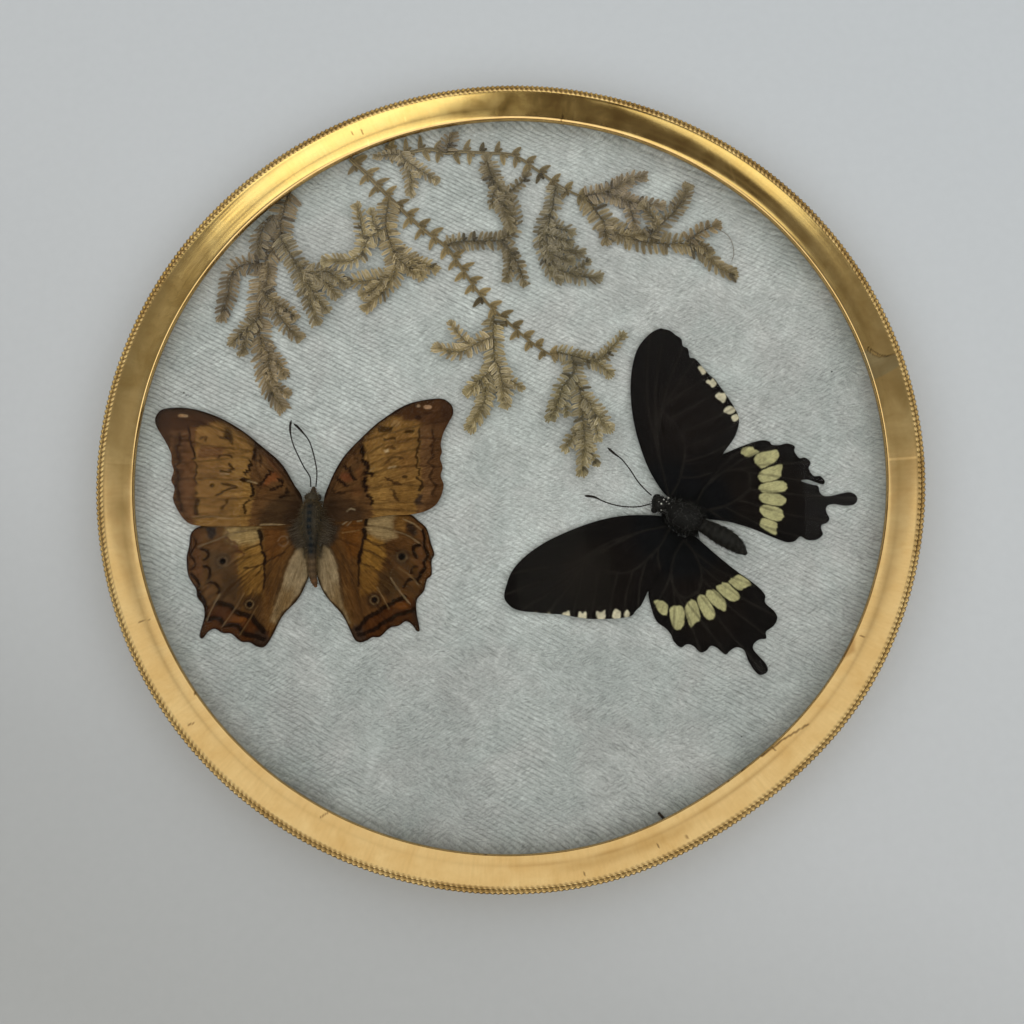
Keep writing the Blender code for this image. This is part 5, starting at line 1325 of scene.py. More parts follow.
# Body axes shared with the solids: x, y and radius.
CRUISER_BODY = path(
    "-44.9,-5.1,0.3 -44.9,-6.4,0.75 -45,-7.1,1 -45,-7.8,1.6 -45,-8.5,1.4 -45,-9,1.25 -45,-10.4,2 "
    "-45,-13,2.2 -45,-15.8,1.9 -44.8,-17.6,1.2 -44.7,-19,1.2 -44.6,-21.5,1.15 -44.5,-23.8,1 "
    "-44.2,-26,0.95 -43.7,-27.8,0.7 -43.4,-28.7,0.3"
)
MORMON_BODY = path(
    "33.6,-8.9,0.5 34.2,-9.2,1.4 35.3,-9.9,1.9 36.6,-10.6,1.7 37.2,-10.9,1.5 38.4,-11.6,2.5 40.2,-12.7,3 "
    "42.4,-13.9,2.8 44,-14.7,1.7 45.2,-15.3,1.8 47.4,-16.7,2.2 49.6,-18,2.3 51.6,-19.3,2 53.3,-20.6,1.3 "
    "54.4,-21.6,0.4"
)
# Which of their places begins the abdomen.
CRUISER_WAIST, MORMON_WAIST = 9, 8
# Antennae shared with the solids: route and height.
ANTENNAE = {
    "cruiser_antenna_left": (
        "-45.5,-5.2 -45.8,-2.8 -47.2,-0.6 -48.9,2.6 -50.1,5.2 -50.8,7.9 -50.9,9.6 -50.7,10.9", 5.4,
    ),
    "cruiser_antenna_right": (
        "-44.3,-5.2 -44.2,-1.8 -44.7,0.9 -45.5,3.8 -46.4,6 -47.9,7.9 -49.2,9.3 -50.1,10", 5.4,
    ),
    "mormon_antenna_upper": (
        "33.4,-7.7 31.9,-6.3 30.2,-4.2 28.8,-1.9 27.3,0.2 26.4,1.2 25.1,2.2 23.5,3.7", 5.2,
    ),
    "mormon_antenna_lower": (
        "33.1,-9.7 31.2,-10.2 29.2,-10.4 26.4,-10.2 24.2,-9.7 22.3,-9 20.2,-8 18,-7.7", 5.2,
    ),
}


def tube_points(route, sides, squash=1.0):
    """Rings of points along a route of (x, y, z, radius)."""
    route = np.asarray(route, float)
    centre = route[:, :3]
    ahead = unit(np.gradient(centre, axis=0))
    across = unit(np.cross(np.array([0.0, 0.0, 1.0]), ahead))
    up = np.cross(ahead, across)
    turn = circle(sides)
    ring = (across[:, None] * np.cos(turn)[:, None] + up[:, None] * np.sin(turn)[:, None] * squash)
    return centre[:, None] + ring * route[:, 3][:, None, None], ring


def tube_faces(count, sides):
    """The wall between the rings of a tube, and its two ends."""
    faces = []
    for i in range(count - 1):
        faces += quads(i * sides, (i + 1) * sides, sides)
    last = (count - 1) * sides
    return faces + [list(range(sides))[::-1], list(range(last, last + sides))]


class Build:
    """Points, faces, colours and slots gathered into one piece."""

    def __init__(self):
        self.verts, self.faces, self.colours, self.slots = [], [], [], []
        self.count = 0

    def take(self, verts, faces, colours, slot=0):
        verts = np.asarray(verts, float).reshape(-1, 3)
        colours = np.broadcast_to(np.asarray(colours, float), (len(verts), 3))
        self.verts.append(verts)
        self.colours.append(colours)
        self.faces += [tuple(self.count + i for i in f) for f in faces]
        self.slots += [slot] * len(faces)
        self.count += len(verts)

    def piece(self, name, materials):
        return solid_mesh(name, np.vstack(self.verts), self.faces, materials,
                          np.clip(np.vstack(self.colours), 0, 1), slots=self.slots)


# Share of a hair's length and thickness at its rings, before the tip.
HAIR_RINGS = ((0.0, 1.0), (0.45, 0.8), (0.8, 0.45))
HAIR_FACES = quads(0, 3, 3) + quads(3, 6, 3) + [(6, 7, 9), (7, 8, 9), (8, 6, 9), (2, 1, 0)]
HAIR_POINTS = 10
HAIR_RADIUS = (0.03, 0.05)
SHELL, FUR = 0, 1


def hair(build, roots, toward, lengths, colours, droop, rng):
    """Tapered three-sided hairs."""
    radii = rng.uniform(*HAIR_RADIUS, len(roots))
    toward = unit(toward)
    side = unit(np.cross(toward, rng.normal(size=toward.shape)))
    other = np.cross(toward, side)
    bend = side * rng.uniform(-droop, droop, (len(roots), 1))
    bend[:, 2] -= droop * 0.3
    rings = []
    for t, thick in HAIR_RINGS:
        middle = roots + (toward * t + bend * t * t) * lengths[:, None]
        for k in range(3):
            a = TAU * k / 3
            rings.append(middle + (side * math.cos(a) + other * math.sin(a)) * (radii * thick)[:, None])
    rings.append(roots + (toward + bend) * lengths[:, None])
    faces = [tuple(HAIR_POINTS * i + c for c in f) for i in range(len(roots)) for f in HAIR_FACES]
    build.take(np.stack(rings, 1), faces, np.repeat(colours, HAIR_POINTS, axis=0), FUR)


def body_route(axis, waist, step=0.22):
    """The body's centre line and radius at close steps, on the same heights as the solid."""
    keys = []
    for index, (x, y, radius) in enumerate(axis):
        belly = ABDOMEN_LOW if index >= waist else FRONT_LOW
        keys.append((x, y, belly + max(radius, 1.1), radius))
    return smooth_curve(keys, step)


def tinted(name, roughness, specular, scale, detail, grain, low, high, share):
    """A material, the colours of its mesh with fine specks in them, and the specks."""
    shades = Shades(name, roughness=roughness, specular=specular)
    speck = shades.noise(shades.place(), scale, detail, grain)
    base = shades.times(shades.attribute("tint", "Color"), speck, (0.3, low), (0.7, high), share=share)
    return shades, base, speck


def fur_material():
    shades, base, _ = tinted("insect_hair", 0.6, 0.06, 3.0, 2.0, 0.7, 0.7, 1.3, 0.7)
    shades.surface(Base_Color=base)
    return shades.material


def shell_material():
    shades, base, speck = tinted("insect_shell", 0.5, 0.12, 2.4, 4.0, 0.75, 0.6, 1.35, 0.8)
    shades.surface(Base_Color=base)
    shades.bump(speck, 0.5, 0.08)
    return shades.material


def ball(build, centre, radii, colour, turn=0.0, sides=16):
    """A ball or egg with its long side turned about Z."""
    rows = sides // 2
    points = []
    for i in range(1, rows):
        a = math.pi * i / rows
        for b in (TAU * j / sides for j in range(sides)):
            x, y = math.sin(a) * math.cos(b) * radii[0], math.sin(a) * math.sin(b) * radii[1]
            points.append((x * math.cos(turn) - y * math.sin(turn) + centre[0],
                           x * math.sin(turn) + y * math.cos(turn) + centre[1],
                           math.cos(a) * radii[2] + centre[2]))
    top, low = len(points), len(points) + 1
    points += [(*centre[:2], centre[2] + radii[2]), (*centre[:2], centre[2] - radii[2])]
    faces = []
    for i in range(rows - 2):
        for j in range(sides):
            k = (j + 1) % sides
            faces.append((i * sides + j, (i + 1) * sides + j, (i + 1) * sides + k, i * sides + k))
    last = (rows - 2) * sides
    for j in range(sides):
        k = (j + 1) % sides
        faces += [(top, j, k), (low, last + k, last + j)]
    build.take(points, faces, linear(colour))


BODY_SIDES = 22
SEGMENT = 1.5
DOT_COLOUR = (214, 212, 204)
FRINGE_HEIGHTS = (5.0, 5.35)


def make_body(name, node, axis, waist, shades_at, hair_at, fringes, stripe, eyes, dots, materials, seed):
    """One body: segmented shell, eyes, and hair that is long on the thorax and short behind."""
    rng = np.random.default_rng(seed)
    route = body_route(axis, waist)
    runs = runs_along(route[:, :3])
    nearest = np.linalg.norm(route[:, :2] - np.array(axis[waist][:2]), axis=1).argmin()
    behind = np.clip(runs - runs[nearest], 0.0, None)
    bands = 0.5 - 0.5 * np.cos(behind / SEGMENT * TAU)
    shaped = route.copy()
    shaped[:, 3] *= np.where(behind > 0, 0.93 + 0.07 * bands, 1.0) * 0.94
    points, ring = tube_points(shaped, BODY_SIDES)
    build = Build()
    tone = np.repeat(shades_at(runs, behind), BODY_SIDES, axis=0)
    shade = np.repeat(np.where(behind > 0, 0.6 + 0.6 * bands, 1.0), BODY_SIDES)[:, None]
    if stripe:
        first, last, colour = stripe
        along = ramp(runs, first - 1.0, first) * (1.0 - ramp(runs, last - 2.0, last))
        blots = 0.35 + 0.65 * ramp(np.cos(runs / 1.45 * TAU), -0.5, 0.3)
        narrow = ramp(ring[:, :, 2], 0.9 - 0.06 * (behind > 0)[:, None], 0.98)
        tone = blend(tone, linear(colour), ((along * blots)[:, None] * narrow).reshape(-1, 1))
    build.take(points, tube_faces(len(route), BODY_SIDES), np.clip(tone * shade, 0, 1), SHELL)
    for centre, radii, colour, turn in eyes:
        ball(build, centre, radii, colour, turn)
    for x, y, z, size in dots:
        ball(build, (x, y, z), (size, size, size * 0.8), DOT_COLOUR, 0.0, 10)

    ahead = unit(np.gradient(route[:, :3], axis=0))

    def picked(first, last, count):
        """Places on the body between two distances from its front."""
        pick = np.flatnonzero((runs >= first) & (runs <= last))
        return pick[rng.integers(0, len(pick), count)]

    for first, last, count, lengths, lean, colour, spread in hair_at:
        at = picked(first, last, count)
        j = rng.integers(0, BODY_SIDES, count)
        keep = (ring[at, j, 2] > -0.35)
        at, j = at[keep], j[keep]
        out = ring[at, j]
        place = points[at, j] + ahead[at] * rng.uniform(-0.12, 0.12, (len(at), 1))
        toward = out * rng.uniform(0.55, 1.0, (len(at), 1)) + ahead[at] * lean
        toward += rng.normal(0.0, spread, toward.shape)
        size = rng.uniform(*lengths, len(at))
        tone = linear(colour) * rng.uniform(0.55, 1.7, (len(at), 1))
        if stripe:
            dark = (along[at] * (0.5 + 0.5 * blots[at]) * ramp(out[:, 2], 0.84, 0.97))[:, None] * 0.95
            tone = blend(tone, linear(stripe[2]), dark)
        hair(build, place - out * 0.08, toward, size, tone, 0.35, rng)
    # Hair lying flat over the wing roots, closing the gap beside the body.
    for first, last, count, lengths, lean, colour in fringes:
        at = picked(first, last, count)
        across = np.column_stack([-ahead[at, 1], ahead[at, 0], np.zeros(count)])
        across *= np.where(rng.random(count) < 0.5, -1.0, 1.0)[:, None]
        roots = route[at, :3] + across * route[at, 3:4] * rng.uniform(0.5, 0.9, (count, 1))
        roots[:, 2] = rng.uniform(*FRINGE_HEIGHTS, count)
        toward = across + ahead[at] * lean + rng.normal(0.0, 0.24, (count, 3)) * (1.0, 1.0, 0.12)
        tone = linear(colour) * rng.uniform(0.5, 1.7, (count, 1))
        hair(build, roots, toward, rng.uniform(*lengths, count), tone, 0.12, rng)
    return finish_piece(build.piece(name, materials), "insect_fur", node)


def tones(*stages):
    """The shell's colour along the body: a first colour, then others that take over between two places."""
    def shades_at(runs, behind):
        base = np.tile(linear(stages[0]), (len(runs), 1))
        base = blend(base, linear(stages[1]), ramp(behind, 0.0, 1.2)[:, None])
        for colour, start, end in stages[2:]:
            base = blend(base, linear(colour), ramp(runs, runs[-1] - start, runs[-1] - end)[:, None])
        return base
    return shades_at


def make_antenna(node, route, height, material):
    """A ringed thread that thickens into a club."""
    curve = smooth_curve(path(route), 0.3)
    share = np.linspace(0.0, 1.0, len(curve))
    ripple = 1.0 + 0.12 * np.cos(np.arange(len(curve)) * math.pi)
    radius = np.where(share > 0.78, 0.17 + 0.13 * ramp(share, 0.78, 0.9), 0.15) * ripple
    radius *= 1.0 - 0.7 * ramp(share, 0.96, 1.0)
    rings = np.column_stack([curve, np.full(len(curve), height), np.clip(radius, 0.05, 0.3)])
    points, _ = tube_points(rings, 10)
    tone = np.outer(0.85 + 0.3 * (np.arange(len(curve)) % 2), linear((34, 28, 24)))
    build = Build()
    build.take(points, tube_faces(len(curve), 10), np.repeat(tone, 10, axis=0))
    finish_piece(build.piece(node + "_dressed", [material]), "insect_fur", node)


def make_bodies():
    """Fur is given as first and last place, count, lengths, lean, colour and spread; fringes without."""
    materials = [shell_material(), fur_material()]
    make_body(
        "cruiser_body_dressed", "cruiser_body", CRUISER_BODY, CRUISER_WAIST,
        tones((58, 51, 39), (44, 39, 31), ((84, 66, 45), 8.5, 5.5), ((92, 62, 36), 3.0, 0.8)),
        [(0.2, 2.0, 120, (0.3, 0.6), 0.4, (112, 80, 58), 0.2),
         (2.2, 6.2, 520, (0.5, 1.1), -0.1, (96, 80, 56), 0.34),
         (4.6, 11.5, 760, (0.6, 1.3), 0.6, (86, 75, 56), 0.3),
         (5.6, 10.5, 60, (0.5, 1.0), 0.9, (28, 42, 50), 0.12),
         (11.5, 16.0, 360, (0.3, 0.8), 0.8, (66, 62, 54), 0.26),
         (15.0, 23.5, 600, (0.2, 0.5), 0.9, (88, 72, 52), 0.2)],
        [(3.5, 12.5, 1100, (0.9, 2.4), 0.25, (78, 65, 48)),
         (7.5, 13.5, 620, (1.6, 4.6), 0.5, (88, 78, 64)),
         (9.0, 16.5, 900, (0.8, 2.2), 0.6, (80, 70, 54)),
         (14.0, 20.5, 700, (0.5, 1.3), 0.9, (112, 94, 66))],
        (6.0, 17.8, (14, 22, 27)),
        [((-46.3, -7.6, 5.0), (0.66, 0.8, 0.75), (34, 34, 34), 0.3),
         ((-43.65, -7.7, 5.0), (0.66, 0.8, 0.75), (34, 34, 34), -0.3)],
        [], materials, 11,
    )
    make_body(
        "mormon_body_dressed", "mormon_body", MORMON_BODY, MORMON_WAIST,
        tones((24, 23, 21), (25, 23, 19)),
        [(0.3, 4.2, 420, (0.4, 0.9), -0.2, (36, 35, 33), 0.3),
         (4.4, 12.0, 900, (0.6, 1.3), 0.4, (24, 23, 21), 0.3),
         (4.2, 6.4, 110, (0.8, 1.7), 0.1, (112, 112, 108), 0.5),
         (6.5, 11.5, 150, (0.8, 1.6), 0.3, (92, 92, 88), 0.6),
         (12.0, 24.0, 900, (0.3, 0.7), 0.9, (24, 21, 17), 0.22)],
        [(3.4, 13.0, 1900, (1.2, 3.2), 0.3, (20, 19, 18)),
         (4.0, 12.0, 110, (1.4, 2.8), 0.4, (70, 68, 62))],
        None,
        [((34.5, -8.3, 5.6), (0.95, 0.8, 0.9), (22, 20, 18), 0.5),
         ((34.0, -11.1, 5.6), (0.95, 0.8, 0.9), (22, 20, 18), 0.7)],
        [(37.0, -8.7, 7.2, 0.19), (35.9, -9.2, 7.6, 0.18), (35.3, -10.2, 7.75, 0.21),
         (37.1, -10.2, 7.5, 0.16), (35.3, -11.5, 7.0, 0.18), (34.8, -9.7, 7.5, 0.12),
         (36.5, -9.7, 7.7, 0.12), (36.2, -8.6, 7.3, 0.1), (34.5, -10.8, 7.0, 0.12)],
        materials, 23,
    )
    for node, (route, height) in ANTENNAE.items():
        make_antenna(node, route, height, materials[SHELL])


# ---------------------------------------------------------------- clubmoss

# A sprig's strip or filling row has a route and how far its leaves reach. A stem's leaves stand in pairs,
# far apart. Each node has its level above the velvet, its colour, how broad and far apart its leaflets
# are, its strips, which are shared with the solids, and rows that fill its dense places.
STEM = "stem"
SPRIGS = {
    "clubmoss_left_stem": (0, (120, 106, 80), 0.0, [
        ("-53.2,69 -54.6,66 -55.5,62 -55.7,58 -57,55 -58.8,51.8 -59.2,48 -59.6,43 -59.9,38.5 -59.7,34 "
         "-58.8,29.7 -58.2,25.5 -57.4,21.8 -55.8,18 -53.8,15", 3.1),
        ("-58.9,30 -56.4,27.2 -54.4,24.8 -53.6,23.2", 2.1),
        ("-57.2,20.8 -54.6,19 -52.6,18", 1.7),
    ], [
        ("-58.2,51 -58.2,47.4 -58.6,44", 1.9),
        ("-57,28 -56.8,24.4 -55.8,21", 1.6),
    ]),
    "clubmoss_left_rim": (1, (104, 93, 71), 0.0, [
        ("-57.2,63.4 -59.3,60.8 -60.4,57.5 -60.4,53.6", 2.6),
    ], []),
    "clubmoss_left_outer": (1, (106, 93, 70), 0.0, [
        ("-59.7,50.6 -62.5,50.6 -65,50 -66.8,48.2 -67.3,45.4 -67.6,42.8 -68.2,39.8 -68.6,37.6", 2.6),
    ], []),
    "clubmoss_left_lower_outer": (1, (118, 106, 80), 0.0, [
        ("-60,36.4 -62,34.7 -64,32.6 -65.4,31", 2.1),
        ("-61.4,35.4 -62.6,32 -63.2,28.6", 1.9),
    ], []),
    "clubmoss_left_lower_inner": (1, (118, 105, 79), 0.0, [
        ("-59.4,43.8 -57,41 -54.8,37.2 -52.2,33.8 -50.2,32", 2.3),
        ("-57.4,41.4 -53.6,39.2 -51.2,37.2", 1.6),
    ], []),
    "clubmoss_left_fork": (2, (119, 108, 82), 0.0, [
        ("-55.6,57.6 -53.8,54.6 -51.9,51.5 -50,48.2 -48.9,45 -47.4,41 -46.3,37.6 -45.8,36", 2.6),
        ("-49.9,47.8 -47,43.4 -45,40.4 -43.8,38.9", 2.0),
        ("-51,49.6 -47.2,47.6 -44.6,46.2 -42.6,44 -41.6,42.6", 2.2),
        ("-47.4,47.8 -43.8,48.2 -41.2,46.6 -39.6,45.2", 2.2),
    ], []),
    "clubmoss_long_stem": (0, (122, 108, 78), 0.2, [
        ("-38.7,77.8 -35.2,74.7 -33.1,72.3 -28.8,67.7 -24.5,63.2 -20.2,59.1 -14.5,54.2 -10.7,48.6 "
         "-6.9,42.9 -3.9,39.1 0.4,35 5,30.7 9.7,27.2 10.8,26.8", 3.4, STEM),
    ], []),
    "clubmoss_long_left": (1, (136, 122, 90), 0.2, [
        ("-29,66.8 -29.6,61.5 -29.3,58.8 -28.4,55.9 -27.2,52 -26.9,49.2 -27.6,46.8 -29.2,44.2 -31.6,41.4 "
         "-33.6,39.4", 2.7),
        ("-27.4,53.4 -24.8,51.8 -22.5,49.6 -20.9,47.6", 2.6),
        ("-24,51.2 -20.4,49.9 -17.8,48.9", 1.9),
        ("-27.6,46.9 -31.5,46.1 -35,45.8 -37.4,45.7", 2.7),
    ], [
        ("-30.2,45.8 -32,43.6 -34.2,42.6", 1.8),
        ("-26.2,51.4 -24,49.2 -22.4,47.6", 1.7),
    ]),
    "clubmoss_long_left_outer": (3, (144, 131, 99), 0.2, [
        ("-30,58.8 -31.8,57.8 -33.7,56 -34.8,53.2 -36.6,51.1 -39.6,50.4 -42.4,50.8 -43.4,50.7", 2.4),
        ("-34.4,54.4 -35.2,58.6 -35.9,62.4 -36.5,64.4", 1.9),
        ("-31.4,58 -32.5,60.6 -33,63", 1.5),
    ], []),
    "clubmoss_long_right": (1, (112, 102, 78), 0.6, [
        ("-14.4,54.9 -11.8,55.6 -8,55.8 -2.4,55.8 0.2,56.8 1.7,59.8 1.4,63.4 0.4,66.8 -1.8,69.6 "
         "-3.9,72.4 -4.9,75.4 -5,77.4", 2.2),
        ("0.2,67.2 2,69.8 3.8,71.2 4.8,72.8", 1.4),
        ("-2,55.8 0.6,53.4 0.8,49.6 0.2,46.4", 1.8),
        ("0.5,53.6 2.6,49.6 3.8,46.4 4.1,45.2", 1.7),
    ], [
        ("-0.2,68.6 -0.6,65.6 0.4,62.4 1,59.4", 2.1),
        ("-2.4,70.2 -3.4,67.4 -3.6,65.4", 1.3),
        ("-4.8,76.4 -3.6,72.4 -1.6,69.2", 2.3),
        ("-2.4,67 -1,64.6 0.2,61.6", 2.2),
    ]),
    "clubmoss_long_lower": (1, (136, 124, 92), 0.2, [
        ("-3.1,36.6 -3.2,34 -3.2,30.8 -3,28 -2.9,25.4 -3.6,22.6 -4.7,19.4 -5.2,16 -5.7,13.4 -7,11 "
         "-8.2,9.5", 2.5),
        ("-4.6,19.8 -7.2,18.6 -9,17.6", 1.6),
    ], [
        ("-4.4,22 -6.6,20.2 -8.6,18.4", 1.8),
        ("-4.8,16.6 -6.2,13 -7.8,10.6", 1.9),
    ]),
    "clubmoss_long_lower_left": (2, (150, 136, 104), 0.2, [
        ("-3.4,31 -6,30 -8.6,28.6 -11,27.5 -14,27.7 -16,28.3", 2.2),
        ("-8.4,28.7 -10.8,31.2 -12.4,33.2 -13,34.2", 1.5),
    ], []),
    "clubmoss_long_lower_right": (2, (138, 126, 96), 0.2, [
        ("-2.8,25.2 -1.6,23.2 -0.5,20.6 -0.2,17.4 -0.3,14.9", 2.1),
        ("-0.7,21.2 1.4,19.9 3.2,18.6", 1.3),
    ], [
        ("-1.6,22.6 -0.9,19 -0.9,16", 1.7),
    ]),
    "clubmoss_long_end": (1, (128, 118, 90), 0.2, [
        ("12,27.3 15.3,26.4 18,25.6 20.7,24.7 22.8,23.4 23.8,22.4", 2.0),
        ("20.4,24.8 22.8,26 24.8,28.2 26.6,30.2 27.2,30.9", 1.6),
    ], []),
    "clubmoss_long_end_lower": (2, (128, 118, 90), 0.2, [
        ("15.6,25.8 15.8,23.4 16,21 16.9,18.6 17.7,15.6 17.8,12.4 18,9 17.8,6 18,3 17.8,0 "
         "17.6,-1.4", 2.4),
        ("17.8,8.2 15.4,6.2 14,4", 1.7),
        ("17.9,6.2 19.6,2.8 20.6,0.4", 1.5),
    ], [
        ("18.2,8.4 18.2,5 18,1.6", 2.0),
    ]),
    "clubmoss_long_end_lower_left": (3, (118, 110, 84), 0.2, [
        ("15.8,21.6 13.6,18.8 12.2,16 11,13.2 10.4,11.6", 2.0),
        ("13.2,18.2 13.7,14.8 14.1,12.2", 1.4),
    ], [
        ("12.8,16.8 11.8,13.8 11,11.6", 1.8),
    ]),
    "clubmoss_long_end_lower_right": (3, (134, 124, 96), 0.2, [
        ("18,16 20.2,13.6 22.2,11 23.6,8.8", 2.0),
        ("19.8,14 21,9.6 21.2,6.2", 1.5),
    ], [
        ("19.8,13 21.8,10.4 23,8.6", 1.8),
    ]),
    "clubmoss_top_stem": (0, (120, 108, 80), 1.0, [
        ("-30.2,81 -27,80 -24.7,79.8 -19.3,80.6 -15,79.5 -11.3,79.8 -5.3,79.3 0,79 3.3,77.7 7.7,74.3 "
         "12.4,70.6 15.3,68.8 18.9,67", 3.3, STEM),
        ("18.4,67.2 20.2,65.6 22,63 23.6,60.6 25.6,58.8 28.2,57.2 30.8,55.9 34.5,55 39.5,54.6 42.2,54.6 "
         "45.3,53.4 47.6,52 49.8,49.6 52.4,47.6 53.8,46.8", 2.8),
    ], [
        ("25.2,58 29,56.6 32.6,57", 1.9),
        ("44,54.6 46.6,54.2 48.4,52.6", 1.8),
    ]),
    "clubmoss_top_rim": (1, (116, 104, 80), 0.2, [
        ("-15,79.4 -14.2,82.4 -13.6,84", 2.2),
    ], []),
    "clubmoss_top_left": (1, (138, 126, 98), 0.2, [
        ("-26.4,79.6 -25,77 -24,74.4 -23.5,71.4 -23.5,69.2", 2.0),
        ("-25.2,77.4 -21.8,75 -19,73 -17.8,72.2", 1.7),
        ("-26,78.8 -29.4,79 -32.2,78.6", 1.3),
    ], []),
    "clubmoss_top_drop": (1, (116, 108, 86), 0.2, [
        ("12.2,70.2 11.5,67.4 11.2,64 9.6,61 8.6,58 8.5,55 9,52.4 10.1,49.4 10.9,47 12.2,45.9", 2.1),
        ("9.4,60.6 11.6,59.2 14,58.2 15,57.8", 2.3),
        ("8.6,55.4 11.4,53.8 14.6,52.9 17.4,52.4", 2.3),
        ("9.8,50.2 12.6,48.2 15.8,46.9 18.4,46.2 21.4,46.1", 2.3),
        ("15.4,47 18.2,48.9 19.4,49.9", 1.3),
    ], [
        ("9,57.6 11.8,56.4 14.6,55.2", 1.9),
        ("9.4,53 12.2,51.4 15,50.4", 1.9),
        ("10.4,61.4 9.8,57 10.2,52.6 11.4,49.4", 1.8),
    ]),
    "clubmoss_top_upper": (1, (122, 110, 88), 0.5, [
        ("19.2,67.2 22,67.8 24.6,68.2 26.8,69.5 29,70.7 31,71.6 32.8,71.9", 2.3),
        ("24,68.1 27.4,66.6 30.2,65.4 32.6,64.8 36,64.6 37,64.5", 2.2),
        ("29.8,65.8 30.5,61.8 30.9,59.4", 1.8),
    ], [
        ("22.4,67.6 26,68.9 29.4,70.6", 2.1),
        ("25,67.5 28.6,66 32.4,65", 2.0),
    ]),
    "clubmoss_top_cross": (2, (116, 105, 80), 0.2, [
        ("34.4,55.8 36.8,58.6 39.2,61 41.4,63.4 43.2,66.4 44,68.4", 2.2),
        ("36.6,58.4 35.2,61.4 33.4,63.6", 2.0),
    ], [
        ("40.6,62.4 42.4,65 43.7,67.8", 2.0),
    ]),
    "clubmoss_top_arch_lower": (1, (124, 112, 86), 0.2, [
        ("23.6,60.4 23.9,58 24.1,55.8", 1.9),
    ], []),
    "clubmoss_top_end_upper": (1, (118, 104, 77), 1.0, [
        ("43.6,55 46,56.8 48.6,58.2 50.2,58.8", 2.1),
    ], []),
}
# How far out the sprigs may reach on each level, under the dome.
SPRIG_LIMIT_R = (87.2, 85.7, 84.0, 82.0)
FILL_LIFT, FILL_BREADTH = 0.3, 0.1

# Share of the length and of the half width along a leaflet and along a stem leaf.
LEAFLET = path("0,0.66 0.12,0.95 0.4,1 0.74,0.9 0.94,0.52")
STEM_LEAF = path("0,0.55 0.16,0.9 0.42,1 0.7,0.78 0.9,0.42")


def leaf(build, base, out, ahead, length, half, sweep, tilt, curl, dark, pale, lift, stations=LEAFLET):
    """A small leaf with a folded middle, thin but closed."""
    points, tones = [], []
    for t, share in stations:
        middle = base[:2] + out * length * t + ahead * sweep * t * t
        along = out + ahead * 2.0 * sweep * t / max(length, 0.1)
        along = along / np.linalg.norm(along)
        across = np.array([-along[1], along[0]])
        z = base[2] + lift * math.sin(math.pi * min(t * 0.9, 1.0))
        w = half * share
        # The margins take the pale colour and the middle the dark one: paler margins with painted highlight
        # on them. Each leaf darkens toward its base.
        for side, dz, tone in ((-1, curl - tilt, pale), (0, 0.07, dark), (1, curl + tilt, pale),
                               (0, -0.07, dark)):
            place = middle + across * side * w
            points.append((place[0], place[1], z + dz * (share if side else 1.0)))
            tones.append(tone * (0.7 + 0.42 * t))
    tip = base[:2] + out * length + ahead * sweep
    points.append((tip[0], tip[1], base[2] + lift * 0.35))
    tones.append(pale)
    faces = []
    for s in range(len(stations) - 1):
        faces += quads(s * 4, s * 4 + 4, 4)
    last = (len(stations) - 1) * 4
    faces += [(last + k, last + (k + 1) % 4, last + 4) for k in range(4)]
    build.take(points, faces + [(3, 2, 1, 0)], tones)


# Turns of the leaves at the end of a strip, from its direction.
TIP_TURNS = (-0.95, -0.62, -0.3, 0.04, 0.34, 0.66, 0.98)
# On the inside of a bend a leaf spans at most this share of the bend's radius, taken over this length.
BEND_SHARE, BEND_LENGTH = 0.8, 2.4


